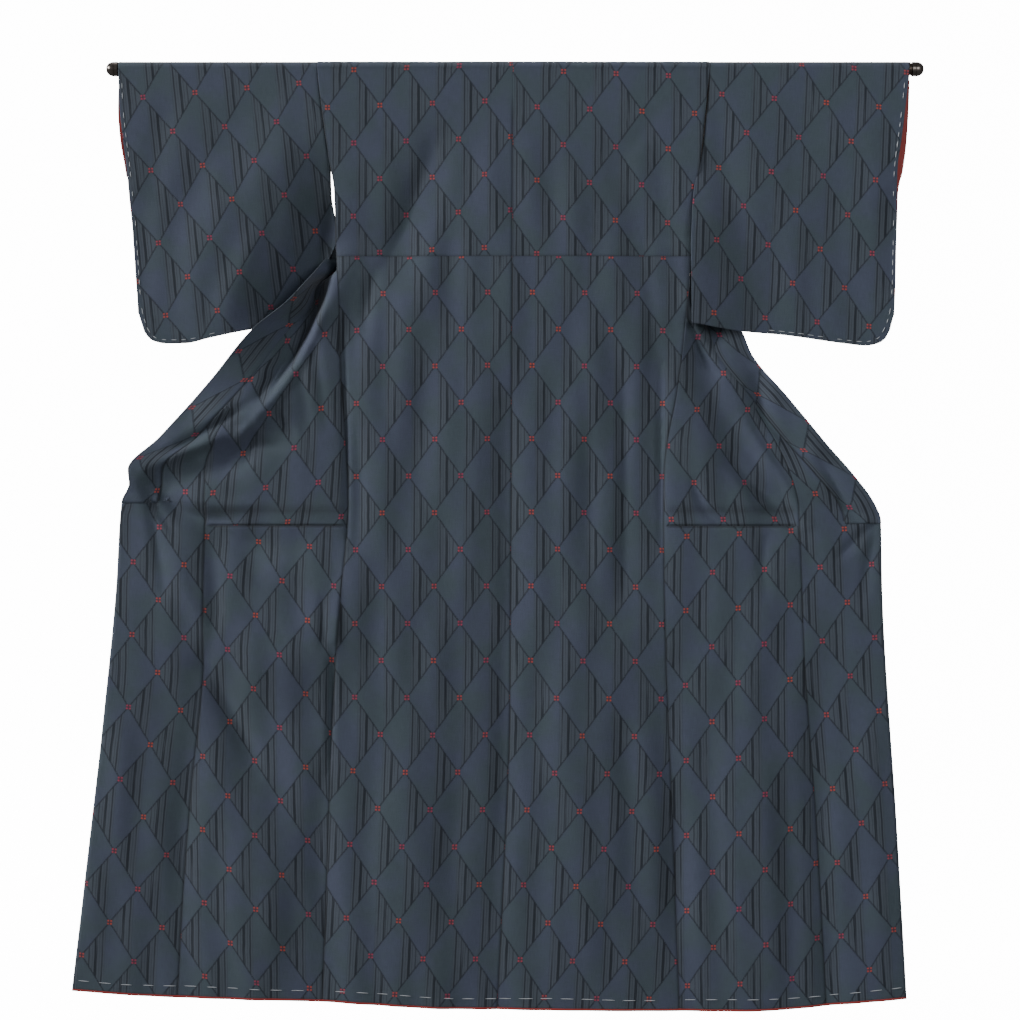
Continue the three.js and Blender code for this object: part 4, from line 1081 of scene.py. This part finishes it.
def sleevePiece(form, layer, name, node):
    width = garment["sleeveWidth"]
    u = spread(width, 7.0)
    f = np.concatenate([np.linspace(0, 0.93, 62), np.linspace(0.94, 1, 14)])[:, None]
    body = form.point(u, f, layer)
    turn = mix(0, 90, (np.arange(overSteps) / overSteps))[:, None]
    over = overRod(body[:1, :, 0], -layer * turn)
    grid = np.concatenate([over, body])
    reach = form.sign * grid[..., 0] - garment["sleeveSeam"]
    height = np.concatenate([np.radians(90 - turn) * hang + 0 * u, body[..., 2]])
    uv = patterned(reach, height, patternPlace["sleeve"][form.sign])
    uv[..., 0] *= form.sign
    outward = form.sign * layer
    joined = ease(-150, -130, height)  # sewn to the body as far down as this
    dip = seamDip(u * width) * joined * ease(12, -30, height)
    inside = np.ones((len(grid) - 1, len(u) - 1), int)
    inside[:, u[:-1] * width > width - hakkake["cuff"]] = 2
    piece = clothMesh(name, grid, uv, outward, dip=dip, inside=inside)
    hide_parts(node)
    return piece


bodySides = {"Left": left, "Right": right}
backs = [backPiece(side, "back" + end, ("back_" + end.lower(), "back_" + end.lower() + "_lower"))
         for end, side in bodySides.items()]
fronts = [frontPiece(side, "front" + end, ("front_" + end.lower(), "front_" + end.lower() + "_lower"))
          for end, side in bodySides.items()]
overlaps = [overlapPiece(side, "overlap" + end, "overlap_" + end.lower(), garment["collarEnd" + end])
            for end, side in bodySides.items()]
collars = [collarPiece(side, "collar" + end, "collar_" + end.lower(), garment["collarEnd" + end])
           for end, side in bodySides.items()]
sleeveForms = {"Left": sleeveForm(sleeves["left"]), "Right": sleeveForm(sleeves["right"])}
sleevePieces = [sleevePiece(form, layer, "sleeve" + end + near, "sleeve_" + end.lower() + "_" + node)
                for end, form in sleeveForms.items()
                for layer, near, node in ((-1, "Near", "back"), (1, "Far", "front"))]

print("stage 4: lining edges")

edgeLining = {
    "hemRoll": 3.0,  # how far the red edge comes out below the hem
    "hemWall": 2.0,
    "cuffReach": {-1: 5.0, 1: 2.0},  # and past each cuff
    "cuffWall": 1.0,
    "cuffFrom": 0.04,  # the cuff's opening, of the sleeve's depth
    "cuffTo": 0.44,
}


def hemLine3d(side, z, lift):  # points along the hem from the centre seam to the free edge
    s, a, c = frontRow(side, z)
    reach = (c[0] - s[0]) / (a[0] - s[0])
    xBack = mix(centre(z) + side.sign * 0.5 * seam, side.sign * s[0], np.linspace(0, 1, 50))
    yBack = backY(side, xBack, z)
    xFront, yFront = frontPoint(side, reach * np.linspace(0, 1, 72)[1:], z)
    x = np.concatenate([xBack, xFront])
    y = np.concatenate([yBack, yFront])
    return np.stack([x, y, lowered(x, z) + lift], -1)


def redEdge(name, grid, outward, thickness, node):
    uv = grid[..., [0, 2]].copy()
    inside = np.zeros((len(grid) - 1, grid.shape[1] - 1), int)
    piece = clothMesh(name, grid, uv, outward, thickness=thickness, inside=inside, materials=("redLining",))
    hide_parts(node)
    return piece


def hemLining(side, name, node):
    steps = np.linspace(0, 1, 5)
    rows = [hemLine3d(side, -garment["length"], -seam - edgeLining["hemRoll"] * t) for t in steps]
    return redEdge(name, np.stack(rows, 0), -side.sign, edgeLining["hemWall"], node)


def cuffLining(form, name, node):
    start, end = edgeLining["cuffFrom"], edgeLining["cuffTo"]
    f = np.linspace(start, end, 40)[:, None]
    edge = form.point(np.ones(1), f, 1)
    out = edgeLining["cuffReach"][form.sign] * np.sin(np.pi * mix(0.15, 0.92, (f - start) / (end - start)))
    steps = np.linspace(0, 1, 5)
    grid = np.repeat(edge, len(steps), 1)
    grid[..., 0] += form.sign * (seam + out * steps)
    return redEdge(name, grid, form.sign, edgeLining["cuffWall"], node)


hems = [hemLining(side, "hemLining" + end, "hem_lining_" + end.lower())
        for end, side in bodySides.items()]
cuffs = [cuffLining(form, "cuffLining" + end, "cuff_lining_" + end.lower())
         for end, form in sleeveForms.items()]

print("stage 5: basting stitches")

basting = {
    "hem": {"Pitch": 0.034, "Length": 0.022, "Thread Radius": 0.0006, "Missing": 0.12, "Seed": 5},
    "cuff": {"Pitch": 0.016, "Length": 0.010, "Thread Radius": 0.0006, "Missing": 0.14, "Seed": 3},
    "hemUp": 15,  # mm above the hem
    "cuffIn": 5.5,  # mm from the cuff's edge
    "hemWave": (1.2, 47),  # how far the hand-sewn row strays, and how soon
    "above": {"hem": 0.35, "cuff": 0.3},  # the thread's middle over the cloth
    "cuffTop": 14,  # the cuff's row starts this far under the shoulder
    "cuffCorner": 402,  # and turns here
}


def stitchTree():
    tree = bpy.data.node_groups.new("bastingStitches", "GeometryNodeTree")
    socket = tree.interface.new_socket
    socket("Geometry", in_out="INPUT", socket_type="NodeSocketGeometry")
    for label in ("Pitch", "Length", "Thread Radius", "Missing"):
        socket(label, in_out="INPUT", socket_type="NodeSocketFloat")
    socket("Seed", in_out="INPUT", socket_type="NodeSocketInt")
    socket("Material", in_out="INPUT", socket_type="NodeSocketMaterial")
    socket("Geometry", in_out="OUTPUT", socket_type="NodeSocketGeometry")
    sheet = nodeSheet(tree)
    link = tree.links.new
    source = sheet.add("NodeGroupInput").outputs
    path = sheet.add("GeometryNodeMeshToCurve")
    link(source["Geometry"], path.inputs["Mesh"])
    spaced = sheet.add("GeometryNodeResampleCurve", mode="LENGTH")
    link(path.outputs["Curve"], spaced.inputs["Curve"])
    link(source["Pitch"], spaced.inputs["Length"])
    points = sheet.add("GeometryNodeCurveToPoints", mode="EVALUATED")
    link(spaced.outputs["Curve"], points.inputs["Curve"])
    thread = sheet.add("GeometryNodeMeshUVSphere")
    thread.inputs["Segments"].default_value = 8
    thread.inputs["Rings"].default_value = 8
    thread.inputs["Radius"].default_value = 1
    keep = sheet.add("FunctionNodeRandomValue", data_type="BOOLEAN")
    link(sheet.sum("SUBTRACT", 1.0, source["Missing"]), keep.inputs["Probability"])
    link(source["Seed"], keep.inputs["Seed"])
    sway = sheet.add("FunctionNodeRandomValue", data_type="FLOAT")
    sway.inputs["Min"].default_value = 0.36
    sway.inputs["Max"].default_value = 0.56
    link(source["Seed"], sway.inputs["Seed"])
    size = sheet.add("ShaderNodeCombineXYZ")
    link(source["Thread Radius"], size.inputs["X"])
    link(source["Thread Radius"], size.inputs["Y"])
    link(sheet.sum("MULTIPLY", source["Length"], sway.outputs["Value"]), size.inputs["Z"])
    place = sheet.add("GeometryNodeInstanceOnPoints")
    link(points.outputs["Points"], place.inputs["Points"])
    link(points.outputs["Rotation"], place.inputs["Rotation"])
    link(keep.outputs["Value"], place.inputs["Selection"])
    link(thread.outputs["Mesh"], place.inputs["Instance"])
    link(size.outputs["Vector"], place.inputs["Scale"])
    real = sheet.add("GeometryNodeRealizeInstances")
    link(place.outputs["Instances"], real.inputs["Geometry"])
    dressed = sheet.add("GeometryNodeSetMaterial")
    link(real.outputs["Geometry"], dressed.inputs["Geometry"])
    link(source["Material"], dressed.inputs["Material"])
    link(dressed.outputs["Geometry"], sheet.add("NodeGroupOutput").inputs["Geometry"])
    return tree


stitches = stitchTree()


def stitchPiece(name, points, settings):
    mesh = bpy.data.meshes.new(name + "Path")
    mesh.from_pydata((np.asarray(points) * mm).tolist(), [(i, i + 1) for i in range(len(points) - 1)], [])
    path = bpy.data.objects.new(name + "Path", mesh)
    bpy.context.scene.collection.objects.link(path)
    modifier = path.modifiers.new("stitches", "NODES")
    modifier.node_group = stitches
    sockets = {item.name: item.identifier for item in stitches.interface.items_tree if item.in_out == "INPUT"}
    for label, value in settings.items():
        modifier[sockets[label]] = value
    modifier[sockets["Material"]] = finishes["bastingThread"]
    graph = bpy.context.evaluated_depsgraph_get()
    made = bpy.data.meshes.new_from_object(path.evaluated_get(graph))
    path.modifiers.remove(modifier)
    bpy.data.objects.remove(path)
    made.name = name
    if not made.uv_layers:
        made.uv_layers.new(name="cloth")
    piece = bpy.data.objects.new(name, made)
    bpy.context.scene.collection.objects.link(piece)
    for polygon in made.polygons:
        polygon.use_smooth = True
    return piece


def hemPath(side):
    points = hemLine3d(side, -garment["length"] + basting["hemUp"], 0)
    stray, run = basting["hemWave"]
    points[:, 1] -= wall / 2 + basting["above"]["hem"]
    points[:, 2] += stray * np.sin(points[:, 0] / run)
    return points[2:-3]  # clear of the centre seam and the free edge


def cuffPath(form, layer, until):
    # Down beside the cuff, round the corner and back along the bottom until that x.
    z = -np.linspace(basting["cuffTop"], basting["cuffCorner"], 60)
    edgeX = form.cuffEdge(layer)(z)
    xBottom = np.linspace(form.low[2] - 2, until, 40)
    boundary = np.concatenate([np.stack([edgeX, z], 1), np.stack([xBottom, form.bottom(xBottom)], 1)])
    tangent = np.gradient(boundary, axis=0)
    tangent /= np.linalg.norm(tangent, axis=1, keepdims=True)
    inward = np.stack([tangent[:, 1], -tangent[:, 0]], 1)
    kept = boundary + inward * basting["cuffIn"]
    kernel = np.ones(7) / 7  # rounds the corner
    sharp = kept.copy()
    for axis in (0, 1):
        kept[3:-3, axis] = np.convolve(sharp[:, axis], kernel, mode="valid")
    x, z = kept[:, 0], kept[:, 1]
    u = np.clip((x - form.inner(z)) / (form.cuffEdge(layer)(z) - form.inner(z)), 0, 1)
    f = np.clip(z / form.bottom(mix(form.low[1], form.low[2], u)), 0, 1)
    surface = np.array([form.point(np.array([ui]), np.array([[fi]]), layer)[0, 0] for ui, fi in zip(u, f)])
    surface[:, 1] += layer * (wall / 2 + basting["above"]["cuff"])
    return surface


threads = {
    "hemStitchesLeft": (hemPath(left), basting["hem"]),
    "hemStitchesRight": (hemPath(right), basting["hem"]),
    "cuffStitchesLeft": (cuffPath(sleeveForms["Left"], -1, 500), basting["cuff"]),
    "cuffStitchesRight": (cuffPath(sleeveForms["Right"], -1, 415), basting["cuff"]),
    "cuffStitchesLeftFar": (cuffPath(sleeveForms["Left"], 1, 548), basting["cuff"]),
    "cuffStitchesRightFar": (cuffPath(sleeveForms["Right"], 1, 430), basting["cuff"]),
}
threadPieces = {name: stitchPiece(name, points, settings) for name, (points, settings) in threads.items()}

print("stage 6: rod")

rod = {
    "left": -657.5,
    "right": 662.5,
    "radius": 10,
    "innerRadius": 8.6,  # of the tube that slides in the other
    "joint": 120,
    "cap": 12,  # the end caps' radius
    "capLength": 20,
    "capGap": 0.3,
}


def turnedPiece(name, profile, material, sides=56):  # profile rows are (x, radius)
    angle = np.linspace(0, 2 * np.pi, sides, endpoint=False)
    rows = [[(x * mm, -r * mm * math.sin(t), r * mm * math.cos(t)) for t in angle] for x, r in profile]
    points = [p for row in rows for p in row]
    faces = []
    for i in range(len(profile) - 1):
        for j in range(sides):
            k = (j + 1) % sides
            faces.append((i * sides + j, i * sides + k, (i + 1) * sides + k, (i + 1) * sides + j))
    faces.append(tuple(range(sides))[::-1])
    faces.append(tuple(range((len(profile) - 1) * sides, len(profile) * sides)))
    mesh = bpy.data.meshes.new(name)
    mesh.from_pydata(points, [], faces)
    mesh.polygons.foreach_set("use_smooth", np.ones(len(faces), bool))
    mesh.set_sharp_from_angle(angle=math.radians(38))
    mesh.materials.append(finishes[material])
    piece = bpy.data.objects.new(name, mesh)
    bpy.context.scene.collection.objects.link(piece)
    return piece


def capProfile(start, direction):
    c, length = rod["cap"], rod["capLength"]
    rows = [(0, c * 0.93), (0.6, c), (5.4, c), (5.9, c * 0.94), (6.4, c * 0.94), (6.9, c)]
    rows += [(7 + (length - 7) * math.sin(t), 0.3 + (c - 0.3) * math.cos(t) ** 0.8)
             for t in np.linspace(0.05, 1.5, 14)]
    placed = [(start + direction * x, r) for x, r in rows]
    return placed[::direction]  # from left to right, so that the faces point outwards


def tubeProfile():  # the wide tube with a collar at the joint, the narrow one, and its wide end
    start, joint, end = rod["left"], rod["joint"], rod["right"]
    wide, narrow, bead = rod["radius"], rod["innerRadius"], rod["radius"] + 0.12
    return [
        (start, wide - 0.4), (start + 0.5, wide), (joint - 14, wide), (joint - 13.6, bead), (joint - 0.5, bead),
        (joint, wide - 0.4), (joint + 0.05, narrow), (end - 16, narrow), (end - 15.9, wide - 0.5),
        (end - 15.4, wide), (end - 0.4, wide), (end, wide - 0.4),
    ]


tube = turnedPiece("rodTube", tubeProfile(), "rodMetal")
capLeft = turnedPiece("rodCapLeft", capProfile(rod["left"] - rod["capGap"], -1), "capMetal")
capRight = turnedPiece("rodCapRight", capProfile(rod["right"] + rod["capGap"], 1), "capMetal")
for piece, node, slot in ((tube, "rod", "rod_metal"), (capLeft, "rod_cap_left", "cap_metal"),
                          (capRight, "rod_cap_right", "cap_metal")):
    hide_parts(node)

print("stage 7: declarations")

everything = [*backs, *fronts, *overlaps, *collars, *sleevePieces, *hems, *cuffs, *threadPieces.values(),
              tube, capLeft, capRight]
for piece in everything:
    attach(piece, "root")


print("stage 8: studio")

studio = {
    "floor": -1.64,
    "wall": 5.6,  # distance of the backdrop behind the rod, so that a view from behind stays clear of it
    "curve": 1.2,
    "top": 9.0,
    "side": 14.0,  # how far it runs to each side and forwards
    "glow": 14.0,
    "ambient": 0.22,
    "distance": 3.51,  # camera to rod
    "aim": (-0.0058, -0.734),
    "shows": 1.693,  # metres of the garment's plane across the picture
    "near": 0.011,  # the cloth's near side lies this far in front of the rod's axis
    "sensor": 36,
}
studioLights = {  # place, aim, size, watts
    "key": ((-8.9, -2.75, 2.6), (0, 0, -0.8), (2.2, 2.2), 1370),
    "fill": ((2.3, -3.8, 0.4), (0.2, 0, -0.7), (2.0, 2.0), 90),
    "top": ((-0.6, 0.4, 2.8), (0, 0.1, -0.6), (2.4, 1.6), 30),
    "rear": ((-2.8, 3.7, 1.6), (0, 0.1, -0.7), (2.2, 2.2), 120),
}


def backdropPiece():
    floor, wallY, curve, side = (studio[key] for key in ("floor", "wall", "curve", "side"))
    profile = [(-side, floor), (wallY - curve, floor)]
    for t in np.linspace(0, math.pi / 2, 16)[1:]:
        profile.append((wallY - curve + curve * math.sin(t), floor + curve * (1 - math.cos(t))))
    profile.append((wallY, studio["top"]))
    points = [(x, y, z) for y, z in profile for x in (-side, side)]
    faces = [(2 * i, 2 * i + 1, 2 * i + 3, 2 * i + 2) for i in range(len(profile) - 1)]
    mesh = bpy.data.meshes.new("backdrop")
    mesh.from_pydata(points, [], faces)
    mesh.polygons.foreach_set("use_smooth", np.ones(len(faces), bool))
    material = bpy.data.materials.new("backdropPaper")
    material.use_nodes = True
    sheet = nodeSheet(material.node_tree)
    shader = material.node_tree.nodes["Principled BSDF"]
    place = sheet.add("ShaderNodeTexCoord").outputs["Object"]
    grain = sheet.noise(place, 90.0, 2)
    paper = sheet.blend(grain, linear(246, 246, 245), linear(250, 250, 250))
    sheet.tree.links.new(paper, shader.inputs["Base Color"])
    shader.inputs["Roughness"].default_value = 0.9
    shader.inputs["Emission Color"].default_value = (1, 1, 1, 1)
    shader.inputs["Emission Strength"].default_value = studio["glow"]
    mesh.materials.append(material)
    backdrop = bpy.data.objects.new("backdrop", mesh)
    backdrop.visible_diffuse = False  # bright paper that doesn't light the cloth
    backdrop.visible_glossy = False
    bpy.context.scene.collection.objects.link(backdrop)


def areaLight(name, location, target, size, power):
    data = bpy.data.lights.new(name, "AREA")
    data.shape = "RECTANGLE"
    data.size, data.size_y = size
    data.energy = power
    light = bpy.data.objects.new(name, data)
    light.location = location
    direction = np.array(target) - np.array(location)
    light.rotation_euler = Vector(direction).to_track_quat("-Z", "Y").to_euler()
    bpy.context.scene.collection.objects.link(light)


backdropPiece()
for name, (location, target, size, power) in studioLights.items():
    areaLight(name, location, target, size, power)

world = bpy.data.worlds.new("studio")
world.use_nodes = True
sky = world.node_tree.nodes["Background"].inputs
sky["Color"].default_value = (1, 1, 1, 1)
worldSheet = nodeSheet(world.node_tree)
seen = worldSheet.add("ShaderNodeLightPath").outputs["Is Camera Ray"]  # white past the backdrop's edges
seen = worldSheet.sum("MULTIPLY", seen, studio["glow"])
worldSheet.plug(worldSheet.sum("MAXIMUM", seen, studio["ambient"]), sky["Strength"])
bpy.context.scene.world = world

camera = bpy.data.cameras.new("camera")
camera.sensor_width = studio["sensor"]
camera.lens = studio["sensor"] * (studio["distance"] - studio["near"]) / studio["shows"]
camera.clip_end = 60
viewpoint = bpy.data.objects.new("camera", camera)
viewpoint.location = (studio["aim"][0], -studio["distance"], studio["aim"][1])
viewpoint.rotation_euler = (math.pi / 2, 0, 0)
bpy.context.scene.collection.objects.link(viewpoint)
bpy.context.scene.camera = viewpoint
